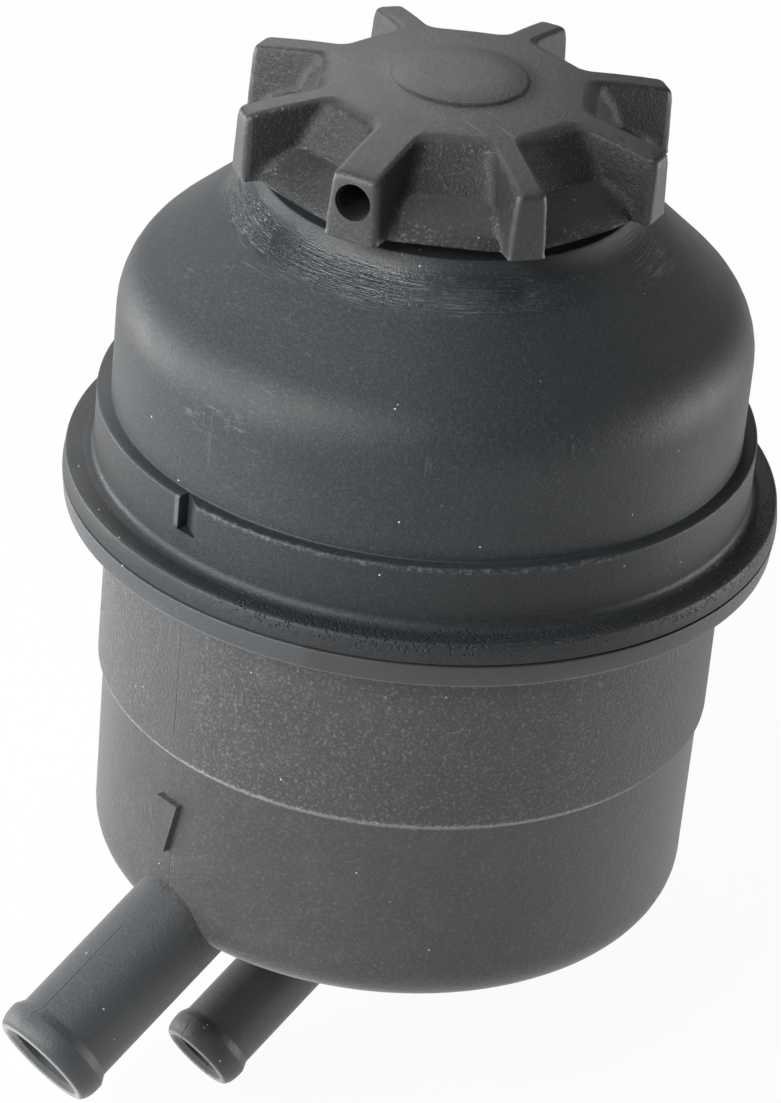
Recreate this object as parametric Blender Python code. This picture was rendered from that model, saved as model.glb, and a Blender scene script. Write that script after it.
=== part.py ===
"""Power steering fluid reservoir with a star-shaped screw cap.

Units are metres and +Z is up. The origin lies on the reservoir's axis, halfway up the smooth band of the
cup that a strap clamp holds. Both hose nipples lie in the plane X = 0 and slope down towards -Y.
"""

import math

import bmesh
import bpy
from mathutils import Matrix, Vector

# How finely round shapes are divided
HOUSING_STEPS = 48
PIPE_STEPS = 20
SMALL_STEPS = 24
PIN_STEPS = 12
CHAMFER_BELOW = 0.0009
LARGE_ARC = 0.0040
LARGE_ARC_STEP = math.radians(18)
SMALL_ARC_STEP = math.radians(31)

# How far a cutter runs past the surface that it cuts, and how large an axis empty is drawn
PAST = 0.0020
AXIS_SIZE = 0.0100

# Clearance between pieces that touch
GAP = 0.0003

# Cup, from the strap band down to the floor
BAND_RADIUS = 0.0459
BAND_HEIGHT = 0.0275
BAND_STEP = 0.0009
CUP_DEPTH = 0.0331
CUP_DRAFT = 0.0002
CUP_CORNER = 0.0071
WALL = 0.0026
FLANGE_WIDTH = 0.0070
FLANGE_LOWER = 0.0036
FLANGE_UPPER = 0.0031
FLANGE_DRAFT = 0.0004
FLANGE_EDGE = 0.0006
REBATE_DEPTH = 0.0020
REBATE_WIDTH = 0.0012

# Dome, from the flange up to the filler neck
DOME_STEP = 0.0005
SKIRT_LEDGE = 0.0021
SKIRT_HEIGHT = 0.00965
SKIRT_FILLET = 0.0016
SKIRT_EDGE = 0.0004
SHOULDER_HEIGHT = 0.0282
SHOULDER_SLOPE = math.radians(42)
SHOULDER_FILLET = 0.0125
COLLAR_RADIUS = 0.0272
COLLAR_DRAFT = 0.0012
COLLAR_HEIGHT = 0.0024
COLLAR_FILLET = 0.0105
NECK_RADIUS = 0.0182
NECK_BORE = 0.0154
NECK_HEIGHT = 0.0080
POCKET_ANGLE = math.radians(-89)
POCKET_SWEEP = math.radians(4.4)
POCKET_DEPTH = 0.0018
POCKET_HEIGHT = 0.0052

# Hose nipples, both sloping down towards -Y
NIPPLE_SLOPE = math.radians(31.8)
NIPPLE_LIP = 0.0004
SUCTION_RADIUS = 0.0080
SUCTION_BORE = 0.0057
SUCTION_RISE = 0.0006
SUCTION_LENGTH = 0.0260
SUCTION_BEAD = 0.0008
SUCTION_BEAD_LENGTH = 0.0052
RETURN_RADIUS = 0.0060
RETURN_BORE = 0.0039
RETURN_DROP = 0.0030
RETURN_LENGTH = 0.0424
RETURN_BEAD = 0.0006
RETURN_BEAD_LENGTH = 0.0048
INLET_BORE = 0.0033

# Arrow head raised on the cup above the suction nipple
ARROW_ANGLE = math.radians(-90)
ARROW_WIDTH = 0.0044
ARROW_HEIGHT = 0.0090
ARROW_TOP = 0.0082
ARROW_RELIEF = 0.0009
ARROW_ROOT = 0.0006

# Filter and its seat over the inlet
STANDPIPE_RADIUS = 0.0062
STANDPIPE_HEIGHT = 0.0086
STANDPIPE_FOOT = 0.0034
STANDPIPE_FOOT_RADIUS = 0.0095
SEAL_WALL = 0.0024
SEAL_HEIGHT = 0.0042
FILTER_RADIUS = 0.0305
FILTER_HEIGHT = 0.0300
FILTER_CAP = 0.0016
FILTER_CAP_RIM = 0.0030
FILTER_CAP_EDGE = 0.0012
FILTER_EYE = 0.0044
SEAL_WAIST = 0.0007
CORE_RADIUS = 0.0122
CORE_WALL = 0.0012
CORE_HOLE = 0.0025
CORE_HOLE_ROWS = 3
CORE_HOLE_COLUMNS = 6
PLEAT_COUNT = 26
PLEAT_THICKNESS = 0.0007

# Bypass valve on top of the filter
VALVE_PORT = 0.0060
VALVE_RADIUS = 0.0080
VALVE_THICKNESS = 0.0014
VALVE_STEM = 0.0015
VALVE_HUB = 0.0010
VALVE_CONE = 0.0006
CAGE_RADIUS = 0.0108
CAGE_WALL = 0.0012
CAGE_FLANGE = 0.0125
CAGE_FLANGE_THICKNESS = 0.0011
CAGE_HEIGHT = 0.0110
CAGE_ROOF = 0.0014
CAGE_WINDOWS = 4
CAGE_SILL = 0.0008
VALVE_SPRING_RADIUS = 0.0042
VALVE_SPRING_WIRE = 0.00035
VALVE_SPRING_TURNS = 3

# Hold-down spring and splash baffle
HOLD_SPRING_RADIUS = 0.0170
HOLD_SPRING_WIRE = 0.0009
HOLD_SPRING_TURNS = 4
BAFFLE_THICKNESS = 0.0017
BAFFLE_DISH = 0.0036
BAFFLE_LAND = 0.0035
BAFFLE_RAMP = 0.0058
BAFFLE_BEND = 0.0004
BAFFLE_EYE = 0.0060
BAFFLE_SLOTS = 10
SLOT_MARGIN = 0.0035
SLOT_LENGTH = 0.0100
SLOT_WIDTH = 0.0045

# Screw cap, turned a little from the nipples as it was last screwed on
CAP_TURN = math.radians(20.8)
CAP_RADIUS = 0.0320
CAP_HEIGHT = 0.0134
CAP_ROOF = 0.00335
CAP_DROP = 0.0035
CAP_BORE = 0.0189
CAP_HEADROOM = 0.0006
CAP_DRAFT = 0.0002
RIB_COUNT = 8
RIB_WIDTH = 0.0044
RIB_FLARE = 0.0006
RIB_CORNER = 0.0009
RIB_TOP_CORNER = 0.0004
VENT_RIB_WIDTH = 0.0070
DRUM_TOP_RADIUS = 0.0201
DRUM_RADIUS = 0.0228
DRUM_DEPTH = 0.00875
DRUM_FILLET = 0.0026
ROOT_FILLET = 0.0021
FLARE_RADIUS = 0.0298
FLARE_HEIGHT = 0.0035
FLARE_START = 0.0008
FLARE_BEND = 0.0024
FLARE_HOLLOW = 0.0014
FLARE_CORNER = 0.0006
LIP_HEIGHT = 0.0004
ARCH_RISE = 0.0007
THREAD_WALL_RADIUS = 0.0217
THREAD_WALL_TAPER = 0.0012
COLLAR_CLEARANCE = 0.0007
CROWN_RADIUS = 0.0150
DISC_RADIUS = 0.0099
DISC_RELIEF = 0.00035
DISC_EDGE = 0.0002
VENT_RADIUS = 0.0027
VENT_DEPTH = 0.0074

# Swivelling seal plate in the cap, with its gasket and vent
GASKET_THICKNESS = 0.0015
GASKET_INSET = 0.0005
PLATE_RIM = 0.0015
PLATE_RIM_CLEARANCE = 0.0005
SPIGOT_CLEARANCE = 0.0004
SPIGOT_WALL = 0.0014
SPIGOT_LENGTH = 0.0075
SPIGOT_EDGE = 0.0005
WEB_THICKNESS = 0.0015
WEB_RISE = 0.0012
FOAM_SEAT = 0.0032
FOAM_LEDGE = 0.0010
FOAM_THICKNESS = 0.0024
BOSS_RADIUS = 0.0042
BOSS_HEIGHT = 0.0062
BOSS_BORE = 0.0024
RING_THICKNESS = 0.0007
RING_OVERLAP = 0.00035
RING_DEPTH = 0.0007
RING_OPENING = math.radians(30)
UMBRELLA_OFFSET = 0.0088
UMBRELLA_RADIUS = 0.0034
UMBRELLA_HEAD = 0.0010
UMBRELLA_STEM = 0.0009
UMBRELLA_BULB = 0.0016
VENT_PORTS = 3
VENT_PORT_RADIUS = 0.0006

# Dipstick and its pin
DIPSTICK_LENGTH = 0.0490
DIPSTICK_WIDTH = 0.0050
DIPSTICK_THICKNESS = 0.0018
DIPSTICK_TANG = 0.0038
DIPSTICK_NOTCH = 0.0009
DIPSTICK_MARKS = (0.0060, 0.0140)
DIPSTICK_MARK_HEIGHT = 0.0010
PIN_RADIUS = 0.0007

# Heights that follow from the sizes above
BAND_TOP = BAND_HEIGHT / 2
BASE = -BAND_HEIGHT / 2 - CUP_DEPTH
FLOOR = BASE + WALL
CUP_RADIUS = BAND_RADIUS - BAND_STEP
CAVITY_RADIUS = CUP_RADIUS - WALL
FLANGE_RADIUS = BAND_RADIUS + FLANGE_WIDTH
DOME_RADIUS = BAND_RADIUS + DOME_STEP
SKIRT_RADIUS = DOME_RADIUS + SKIRT_LEDGE
CUP_TOP = BAND_TOP + FLANGE_LOWER
DOME_FOOT = CUP_TOP + GAP
FLANGE_TOP = DOME_FOOT + FLANGE_UPPER
LEDGE = FLANGE_TOP + SKIRT_HEIGHT
SHOULDER = FLANGE_TOP + SHOULDER_HEIGHT
COLLAR_FOOT_RADIUS = COLLAR_RADIUS + COLLAR_DRAFT
COLLAR_FOOT = SHOULDER + (DOME_RADIUS - COLLAR_FOOT_RADIUS) * math.tan(SHOULDER_SLOPE)
COLLAR_TOP = COLLAR_FOOT + COLLAR_HEIGHT
NECK_TOP = COLLAR_TOP + NECK_HEIGHT
REBATE = CUP_TOP - REBATE_DEPTH
REBATE_RADIUS = CAVITY_RADIUS + REBATE_WIDTH

# A nipple's axis is given by its height where it crosses the Z axis. Distances run down along it from there.
SUCTION_AXIS = BASE + SUCTION_RISE + CUP_RADIUS * math.tan(NIPPLE_SLOPE)
SUCTION_START = (SUCTION_AXIS - BASE - SUCTION_RADIUS) / math.sin(NIPPLE_SLOPE)
SUCTION_INLET = (SUCTION_AXIS - FLOOR - SUCTION_BORE) / math.sin(NIPPLE_SLOPE)
SUCTION_MOUTH = CUP_RADIUS / math.cos(NIPPLE_SLOPE) + SUCTION_LENGTH
RETURN_AXIS = BASE - RETURN_DROP

STANDPIPE_TOP = FLOOR + STANDPIPE_HEIGHT
SEAT = FLOOR + STANDPIPE_FOOT
SEAL_RADIUS = STANDPIPE_RADIUS + GAP + SEAL_WALL
FILTER_FOOT = STANDPIPE_TOP + GAP
FILTER_FLOOR = FILTER_FOOT + FILTER_CAP + GAP
FILTER_CEILING = FILTER_FLOOR + FILTER_HEIGHT
FILTER_TOP = FILTER_CEILING + GAP + FILTER_CAP
CAGE_FOOT = FILTER_TOP + GAP
CAGE_TOP = CAGE_FOOT + CAGE_HEIGHT
BAFFLE_RIM = REBATE + GAP
BAFFLE_FOOT = BAFFLE_RIM - BAFFLE_DISH
BAFFLE_RADIUS = REBATE_RADIUS - GAP
BAFFLE_SLOPE = BAFFLE_RADIUS - BAFFLE_LAND
BAFFLE_FLAT = BAFFLE_SLOPE - BAFFLE_RAMP
SLOT_OUTER = BAFFLE_FLAT - SLOT_MARGIN
SLOT_INNER = SLOT_OUTER - SLOT_LENGTH

GASKET_FOOT = NECK_TOP + GAP
PLATE_FOOT = GASKET_FOOT + GASKET_THICKNESS + GAP
PLATE_TOP = PLATE_FOOT + PLATE_RIM
PLATE_RADIUS = CAP_BORE - PLATE_RIM_CLEARANCE
CEILING = PLATE_TOP + CAP_HEADROOM
CAP_TOP = CEILING + CAP_ROOF
CAP_FOOT = CAP_TOP - CAP_HEIGHT
DRUM_FOOT = CAP_TOP - DRUM_DEPTH
SKIRT_FOOT = DRUM_FOOT - FLARE_HEIGHT
THREAD_WALL_FOOT = COLLAR_TOP + COLLAR_CLEARANCE
VENT_AXIS = CAP_TOP - VENT_DEPTH
SPIGOT_RADIUS = NECK_BORE - SPIGOT_CLEARANCE
SPIGOT_FOOT = PLATE_TOP - SPIGOT_LENGTH
WEB = SPIGOT_FOOT + WEB_RISE
WEB_TOP = WEB + WEB_THICKNESS
FOAM_LEDGE_TOP = PLATE_TOP - FOAM_SEAT
BOSS_TOP = WEB + BOSS_HEIGHT
RING_INNER = PLATE_RADIUS - RING_OVERLAP
RING_OUTER = CAP_BORE + RING_DEPTH
PIN_HEIGHT = WEB_TOP + PIN_RADIUS + GAP


def clear_scene():
    for obj in list(bpy.data.objects):
        bpy.data.objects.remove(obj, do_unlink=True)


def plastic(name, colour, roughness=0.5, metallic=0.0):
    """A Principled material of one colour."""
    material = bpy.data.materials.new(name)
    material.use_nodes = True
    shader = material.node_tree.nodes["Principled BSDF"]
    shader.inputs["Base Color"].default_value = (*colour, 1.0)
    shader.inputs["Roughness"].default_value = roughness
    shader.inputs["Metallic"].default_value = metallic
    material.diffuse_color = (*colour, 1.0)
    return material


def carrier(name, location):
    """An empty that stands on a moving piece's joint axis."""
    empty = bpy.data.objects.new(name, None)
    empty.location = location
    empty.empty_display_size = AXIS_SIZE
    bpy.context.collection.objects.link(empty)
    return empty


def add_object(name, bm, material=None, parent=None):
    """Turns a bmesh into an object, smooth where its faces are round."""
    bmesh.ops.recalc_face_normals(bm, faces=bm.faces)
    mesh = bpy.data.meshes.new(name)
    bm.to_mesh(mesh)
    bm.free()
    mesh.shade_smooth()
    mesh.set_sharp_from_angle(angle=math.radians(35))
    obj = bpy.data.objects.new(name, mesh)
    bpy.context.collection.objects.link(obj)
    if material:
        mesh.materials.append(material)
    if parent:
        bpy.context.view_layer.update()
        obj.parent = parent
        obj.matrix_parent_inverse = parent.matrix_world.inverted()
    return obj


def as_cutter(obj):
    obj.hide_render = True
    obj.display_type = "WIRE"
    return obj


def combine(obj, other, operation):
    """Leaves a Boolean modifier on obj that uses the hidden helper other."""
    modifier = obj.modifiers.new(operation.title() + "_" + other.name, "BOOLEAN")
    modifier.operation = operation
    modifier.solver = "EXACT"
    modifier.object = as_cutter(other)


def arc_steps(turn, fillet):
    """The smallest fillets are drawn as chamfers, and the largest are the smoothest."""
    if fillet < CHAMFER_BELOW:
        return 1
    step = LARGE_ARC_STEP if fillet > LARGE_ARC else SMALL_ARC_STEP
    return math.ceil(turn / step)


def rounded(corners):
    """The outline through (x, y, fillet, steps) corners, with each fillet drawn as an arc."""
    points = []
    count = len(corners)
    for index, corner in enumerate(corners):
        here = Vector(corner[:2])
        fillet = corner[2] if len(corner) > 2 else 0.0
        if not fillet:
            points.append(here)
            continue
        back = (Vector(corners[index - 1][:2]) - here).normalized()
        ahead = (Vector(corners[(index + 1) % count][:2]) - here).normalized()
        half = back.angle(ahead) / 2
        start = here + back * fillet / math.tan(half)
        centre = here + (back + ahead).normalized() * fillet / math.sin(half)
        spoke = start - centre
        turn = math.pi - 2 * half
        if back.x * ahead.y - back.y * ahead.x > 0:
            turn = -turn
        steps = corner[3] if len(corner) > 3 else arc_steps(abs(turn), fillet)
        for step in range(steps + 1):
            angle = turn * step / steps
            cosine, sine = math.cos(angle), math.sin(angle)
            points.append(
                centre + Vector((spoke.x * cosine - spoke.y * sine, spoke.x * sine + spoke.y * cosine))
            )
    return points


def turned_mesh(corners, steps, sweep=2 * math.pi):
    """A bmesh of the closed (radius, height) outline spun about Z, with flat ends where it stops short."""
    bm = bmesh.new()
    outline = rounded(corners)
    verts = [bm.verts.new((point.x, 0.0, point.y)) for point in outline]
    whole = sweep >= 2 * math.pi
    if whole:
        edges = [
            bm.edges.new((verts[i], verts[(i + 1) % len(verts)]))
            for i in range(len(verts))
            if outline[i].x > 0 or outline[(i + 1) % len(verts)].x > 0
        ]
        geometry = verts + edges
    else:
        face = bm.faces.new(verts)
        geometry = verts + list(bm.edges) + [face]
    bmesh.ops.spin(
        bm, geom=geometry, cent=(0, 0, 0), axis=(0, 0, 1), angle=sweep, steps=steps, use_merge=whole
    )
    bmesh.ops.remove_doubles(bm, verts=bm.verts, dist=1e-7)
    return bm


def turned(name, corners, steps=SMALL_STEPS, material=None, parent=None, place=None, sweep=2 * math.pi):
    """A turned piece. place is a matrix that moves it from the Z axis."""
    bm = turned_mesh(corners, steps, sweep)
    if place is not None:
        bmesh.ops.transform(bm, matrix=place, verts=bm.verts)
    return add_object(name, bm, material, parent)


def extruded(name, outline, height, place, material=None, parent=None):
    """A closed outline in XY pushed up by height, then placed by a matrix."""
    bm = bmesh.new()
    base = bm.faces.new([bm.verts.new((x, y, 0.0)) for x, y in outline])
    raised = bmesh.ops.extrude_face_region(bm, geom=[base])["geom"]
    top = [item for item in raised if isinstance(item, bmesh.types.BMVert)]
    bmesh.ops.translate(bm, verts=top, vec=(0, 0, height))
    bmesh.ops.transform(bm, matrix=place, verts=bm.verts)
    return add_object(name, bm, material, parent)


def rod(radius, start, end):
    """The corners of a plain bar along Z."""
    return [(0, end), (radius, end), (radius, start), (0, start)]


def drill(obj, name, radius, start, end, place, steps=PIPE_STEPS):
    """Cuts a round hole. Its facets are turned a little, off the seams of the shape it cuts."""
    off_seam = Matrix.Rotation(2 * math.pi / steps / 3, 4, "Z")
    combine(obj, turned(name, rod(radius, start, end), steps, place=place @ off_seam), "DIFFERENCE")


def towards_front(height, slope=0.0, turn=0.0):
    """Places a shape made along +Z so that it runs from the axis to -Y, sloping down and turned about Z."""
    return (
        Matrix.Rotation(turn, 4, "Z")
        @ Matrix.Translation((0, 0, height))
        @ Matrix.Rotation(math.pi / 2 + slope, 4, "X")
    )


def nipple_corners(radius, start, mouth, bead, bead_length):
    """The outside of a nipple with a hose bead that swells and tapers again to the mouth."""
    crest = radius + bead
    return [
        (0, mouth),
        (radius - NIPPLE_LIP, mouth, NIPPLE_LIP),
        (crest, mouth - 0.45 * bead_length, 0.3 * bead_length, 2),
        (crest, mouth - 0.7 * bead_length),
        (radius, mouth - bead_length),
        (radius, start),
        (0, start),
    ]


def cup_outside():
    corner_top = BASE + CUP_CORNER
    return [
        (0, CUP_TOP),
        (FLANGE_RADIUS, CUP_TOP),
        (FLANGE_RADIUS - FLANGE_DRAFT, BAND_TOP, FLANGE_EDGE),
        (BAND_RADIUS, BAND_TOP),
        (BAND_RADIUS, -BAND_TOP),
        (CUP_RADIUS, -BAND_TOP - BAND_STEP),
        (CUP_RADIUS - CUP_DRAFT, corner_top + BAND_STEP),
        (CUP_RADIUS - CUP_DRAFT, BASE, CUP_CORNER),
        (0, BASE),
    ]


def cup_cavity():
    """The hollow of the cup, which leaves the inlet standpipe standing."""
    return [
        (0, CUP_TOP + WALL),
        (REBATE_RADIUS, CUP_TOP + WALL),
        (REBATE_RADIUS, REBATE),
        (CAVITY_RADIUS, REBATE),
        (CAVITY_RADIUS - CUP_DRAFT, FLOOR, CUP_CORNER - WALL, 2),
        (STANDPIPE_FOOT_RADIUS, FLOOR),
        (STANDPIPE_FOOT_RADIUS, SEAT),
        (STANDPIPE_RADIUS, SEAT),
        (STANDPIPE_RADIUS, STANDPIPE_TOP),
        (0, STANDPIPE_TOP),
    ]


def arrow_head():
    """A raised triangle that points down at the suction nipple."""
    surface = CUP_RADIUS * math.cos(ARROW_WIDTH / 2 / CUP_RADIUS) - CUP_DRAFT - ARROW_ROOT
    height = CUP_RADIUS + ARROW_RELIEF - surface
    place = (
        Matrix.Rotation(ARROW_ANGLE, 4, "Z")
        @ Matrix.Translation((surface, 0, -BAND_TOP - ARROW_TOP))
        @ Matrix.Rotation(math.pi / 2, 4, "Y")
    )
    outline = [(0, -ARROW_WIDTH / 2), (ARROW_HEIGHT, 0), (0, ARROW_WIDTH / 2)]
    return extruded("arrow_head", outline, height, place)


def make_lower_housing(material):
    """The cup with its flange, both nipples, the inlet standpipe and the arrow, moulded as one."""
    housing = turned("lower_housing", cup_outside(), HOUSING_STEPS, material)
    suction_place = towards_front(SUCTION_AXIS, NIPPLE_SLOPE)
    return_place = towards_front(RETURN_AXIS, NIPPLE_SLOPE)
    suction = nipple_corners(
        SUCTION_RADIUS, SUCTION_START, SUCTION_MOUTH, SUCTION_BEAD, SUCTION_BEAD_LENGTH
    )
    returning = nipple_corners(
        RETURN_RADIUS, -RETURN_BORE - WALL, RETURN_LENGTH, RETURN_BEAD, RETURN_BEAD_LENGTH
    )
    combine(housing, turned("suction_outside", suction, PIPE_STEPS, place=suction_place), "UNION")
    combine(housing, turned("return_outside", returning, PIPE_STEPS, place=return_place), "UNION")
    combine(housing, arrow_head(), "UNION")
    combine(housing, turned("cup_cavity", cup_cavity(), HOUSING_STEPS), "DIFFERENCE")
    drill(housing, "suction_bore", SUCTION_BORE, SUCTION_INLET, SUCTION_MOUTH + PAST, suction_place)
    drill(housing, "return_bore", RETURN_BORE, -RETURN_BORE, RETURN_LENGTH + PAST, return_place)
    drill(housing, "inlet_bore", INLET_BORE, RETURN_AXIS, STANDPIPE_TOP + PAST, Matrix())


def dome_section():
    """The wall of the dome, its flange, skirt, collar and neck, as one closed outline."""
    slope = math.tan(SHOULDER_SLOPE)
    drop = WALL / math.cos(SHOULDER_SLOPE)
    inner = DOME_RADIUS - WALL
    skirt_inner = SKIRT_RADIUS - WALL
    collar_under = COLLAR_TOP - WALL - GAP
    collar_inner = DOME_RADIUS - (collar_under - SHOULDER + drop) / slope
    return [
        (NECK_BORE, NECK_TOP),
        (NECK_RADIUS, NECK_TOP),
        (NECK_RADIUS, COLLAR_TOP),
        (COLLAR_RADIUS, COLLAR_TOP),
        (COLLAR_FOOT_RADIUS, COLLAR_FOOT, COLLAR_FILLET),
        (DOME_RADIUS, SHOULDER, SHOULDER_FILLET),
        (DOME_RADIUS, LEDGE),
        (SKIRT_RADIUS, LEDGE, SKIRT_EDGE),
        (SKIRT_RADIUS, FLANGE_TOP, SKIRT_FILLET, 2),
        (FLANGE_RADIUS - FLANGE_DRAFT, FLANGE_TOP, FLANGE_EDGE),
        (FLANGE_RADIUS, DOME_FOOT),
        (CAVITY_RADIUS, DOME_FOOT),
        (CAVITY_RADIUS, DOME_FOOT + WALL),
        (skirt_inner, FLANGE_TOP + GAP),
        (skirt_inner, LEDGE - WALL),
        (inner, LEDGE - GAP),
        (inner, SHOULDER + WALL * slope - drop, SHOULDER_FILLET - WALL, 2),
        (collar_inner, collar_under),
        (NECK_BORE, collar_under),
    ]


def locating_pocket():
    """A shallow wedge cut into the skirt, deep at one end and running out at the other."""
    reach = SKIRT_RADIUS + PAST
    start = POCKET_ANGLE
    end = POCKET_ANGLE + POCKET_SWEEP
    plan = [
        (SKIRT_RADIUS - POCKET_DEPTH, start),
        (SKIRT_RADIUS, end),
        (reach, end),
        (reach, start),
    ]
    outline = [(radius * math.cos(angle), radius * math.sin(angle)) for radius, angle in plan]
    height = POCKET_HEIGHT + PAST
    return extruded("locating_pocket", outline, height, Matrix.Translation((0, 0, LEDGE - POCKET_HEIGHT)))


def make_upper_housing(material):
    housing = turned("upper_housing", dome_section(), HOUSING_STEPS, material)
    combine(housing, locating_pocket(), "DIFFERENCE")


def make_filter_seat_seal(material):
    inner = STANDPIPE_RADIUS + GAP
    foot = SEAT + GAP
    waist = SEAL_RADIUS - SEAL_WAIST
    third = SEAL_HEIGHT / 3
    corners = [
        (inner, foot + SEAL_HEIGHT),
        (SEAL_RADIUS, foot + SEAL_HEIGHT),
        (SEAL_RADIUS, foot + 2 * third),
        (waist, foot + 1.7 * third),
        (waist, foot + 1.3 * third),
        (SEAL_RADIUS, foot + third),
        (SEAL_RADIUS, foot),
        (inner, foot),
    ]
    turned("filter_seat_seal", corners, SMALL_STEPS, material)


def make_filter_caps(material):
    """Two dished end caps. The lower one has a collar that fits over the seal."""
    rim_inner = FILTER_RADIUS - FILTER_CAP
    collar = SEAL_RADIUS + GAP
    collar_outer = collar + FILTER_CAP
    seat_foot = SEAT + GAP
    top = FILTER_FOOT + FILTER_CAP
    lower = [
        (rim_inner, top + FILTER_CAP_RIM),
        (FILTER_RADIUS, top + FILTER_CAP_RIM),
        (FILTER_RADIUS, FILTER_FOOT, FILTER_CAP_EDGE, 1),
        (collar_outer, FILTER_FOOT),
        (collar_outer, seat_foot),
        (collar, seat_foot),
        (collar, FILTER_FOOT),
        (FILTER_EYE, FILTER_FOOT),
        (FILTER_EYE, top),
        (rim_inner, top),
    ]
    turned("filter_lower_cap", lower, SMALL_STEPS, material)
    under = FILTER_CEILING + GAP
    upper = [
        (VALVE_PORT, FILTER_TOP),
        (FILTER_RADIUS, FILTER_TOP, FILTER_CAP_EDGE, 1),
        (FILTER_RADIUS, under - FILTER_CAP_RIM),
        (rim_inner, under - FILTER_CAP_RIM),
        (rim_inner, under),
        (VALVE_PORT, under),
    ]
    turned("filter_upper_cap", upper, SMALL_STEPS, material)


def make_filter_core(material):
    """A tube with rows of round holes that hold the pleats off the flow."""
    corners = [
        (CORE_RADIUS - CORE_WALL, FILTER_CEILING),
        (CORE_RADIUS, FILTER_CEILING),
        (CORE_RADIUS, FILTER_FLOOR),
        (CORE_RADIUS - CORE_WALL, FILTER_FLOOR),
    ]
    core = turned("filter_core", corners, SMALL_STEPS, material)
    bm = bmesh.new()
    spacing = FILTER_HEIGHT / CORE_HOLE_ROWS
    for row in range(CORE_HOLE_ROWS):
        height = FILTER_FLOOR + (row + 0.5) * spacing
        for column in range(CORE_HOLE_COLUMNS):
            angle = 2 * math.pi * (column + 0.5 * (row % 2)) / CORE_HOLE_COLUMNS
            place = (
                Matrix.Rotation(angle, 4, "Z")
                @ Matrix.Translation((CORE_RADIUS, 0, height))
                @ Matrix.Rotation(math.pi / 2, 4, "Y")
            )
            bmesh.ops.create_cone(
                bm, cap_ends=True, segments=8, radius1=CORE_HOLE, radius2=CORE_HOLE,
                depth=6 * CORE_WALL, matrix=place,
            )
    combine(core, add_object("core_holes", bm), "DIFFERENCE")


def make_filter_pleats(material):
    """Filter paper folded to and fro between the core and the rims of the end caps."""
    inner = CORE_RADIUS + 2 * GAP
    outer = FILTER_RADIUS - FILTER_CAP - 2 * GAP
    half = PLEAT_THICKNESS / 2
    depth = 2 * PLEAT_THICKNESS
    step = math.pi / PLEAT_COUNT
    outline = []
    for fold in range(2 * PLEAT_COUNT):
        radius = inner + depth if fold % 2 else outer
        spread = half / radius
        outline += [(radius, fold * step - spread), (radius, fold * step + spread)]
    bm = bmesh.new()
    loops = []
    for inset, height in (
        (0.0, FILTER_FLOOR), (0.0, FILTER_CEILING), (depth, FILTER_CEILING), (depth, FILTER_FLOOR),
    ):
        loops.append([
            bm.verts.new(((radius - inset) * math.cos(angle), (radius - inset) * math.sin(angle), height))
            for radius, angle in outline
        ])
    count = len(outline)
    for a, b in zip(loops, loops[1:] + loops[:1]):
        for i in range(count):
            j = (i + 1) % count
            bm.faces.new((a[i], a[j], b[j], b[i]))
    add_object("filter_pleats", bm, material)


def make_bypass_valve(material, parent):
    foot = CAGE_FOOT
    top = foot + VALVE_THICKNESS
    hub = VALVE_SPRING_RADIUS - 2 * VALVE_SPRING_WIRE
    corners = [
        (0, CAGE_TOP + VALVE_STEM),
        (VALVE_STEM, CAGE_TOP + VALVE_STEM, VALVE_STEM / 3),
        (VALVE_STEM, top + VALVE_HUB + VALVE_CONE),
        (hub, top + VALVE_HUB),
        (hub, top),
        (VALVE_RADIUS, top),
        (VALVE_RADIUS, foot),
        (0, foot),
    ]
    turned("bypass_valve_disc", corners, SMALL_STEPS, material, parent)


def make_valve_cage(material):
    """A windowed bridge over the valve that guides its stem and holds down its spring."""
    inner = CAGE_RADIUS - CAGE_WALL
    corners = [
        (VALVE_STEM + GAP, CAGE_TOP),
        (CAGE_RADIUS, CAGE_TOP, CAGE_ROOF / 2),
        (CAGE_RADIUS, CAGE_FOOT + CAGE_FLANGE_THICKNESS),
        (CAGE_FLANGE, CAGE_FOOT + CAGE_FLANGE_THICKNESS),
        (CAGE_FLANGE, CAGE_FOOT),
        (inner, CAGE_FOOT),
        (inner, CAGE_TOP - CAGE_ROOF),
        (VALVE_STEM + GAP, CAGE_TOP - CAGE_ROOF),
    ]
    cage = turned("valve_cage", corners, SMALL_STEPS, material)
    window = CAGE_HEIGHT - CAGE_ROOF - CAGE_FLANGE_THICKNESS - 2 * CAGE_SILL
    middle = CAGE_FOOT + CAGE_FLANGE_THICKNESS + CAGE_SILL + window / 2
    bm = bmesh.new()
    for index in range(CAGE_WINDOWS):
        place = (
            Matrix.Rotation(2 * math.pi * (index + 0.5) / CAGE_WINDOWS, 4, "Z")
            @ Matrix.Translation((CAGE_RADIUS, 0, middle))
            @ Matrix.Diagonal((CAGE_RADIUS, CAGE_RADIUS * 1.1, window, 1))
        )
        bmesh.ops.create_cube(bm, size=1.0, matrix=place)
    combine(cage, add_object("cage_windows", bm), "DIFFERENCE")


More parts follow.
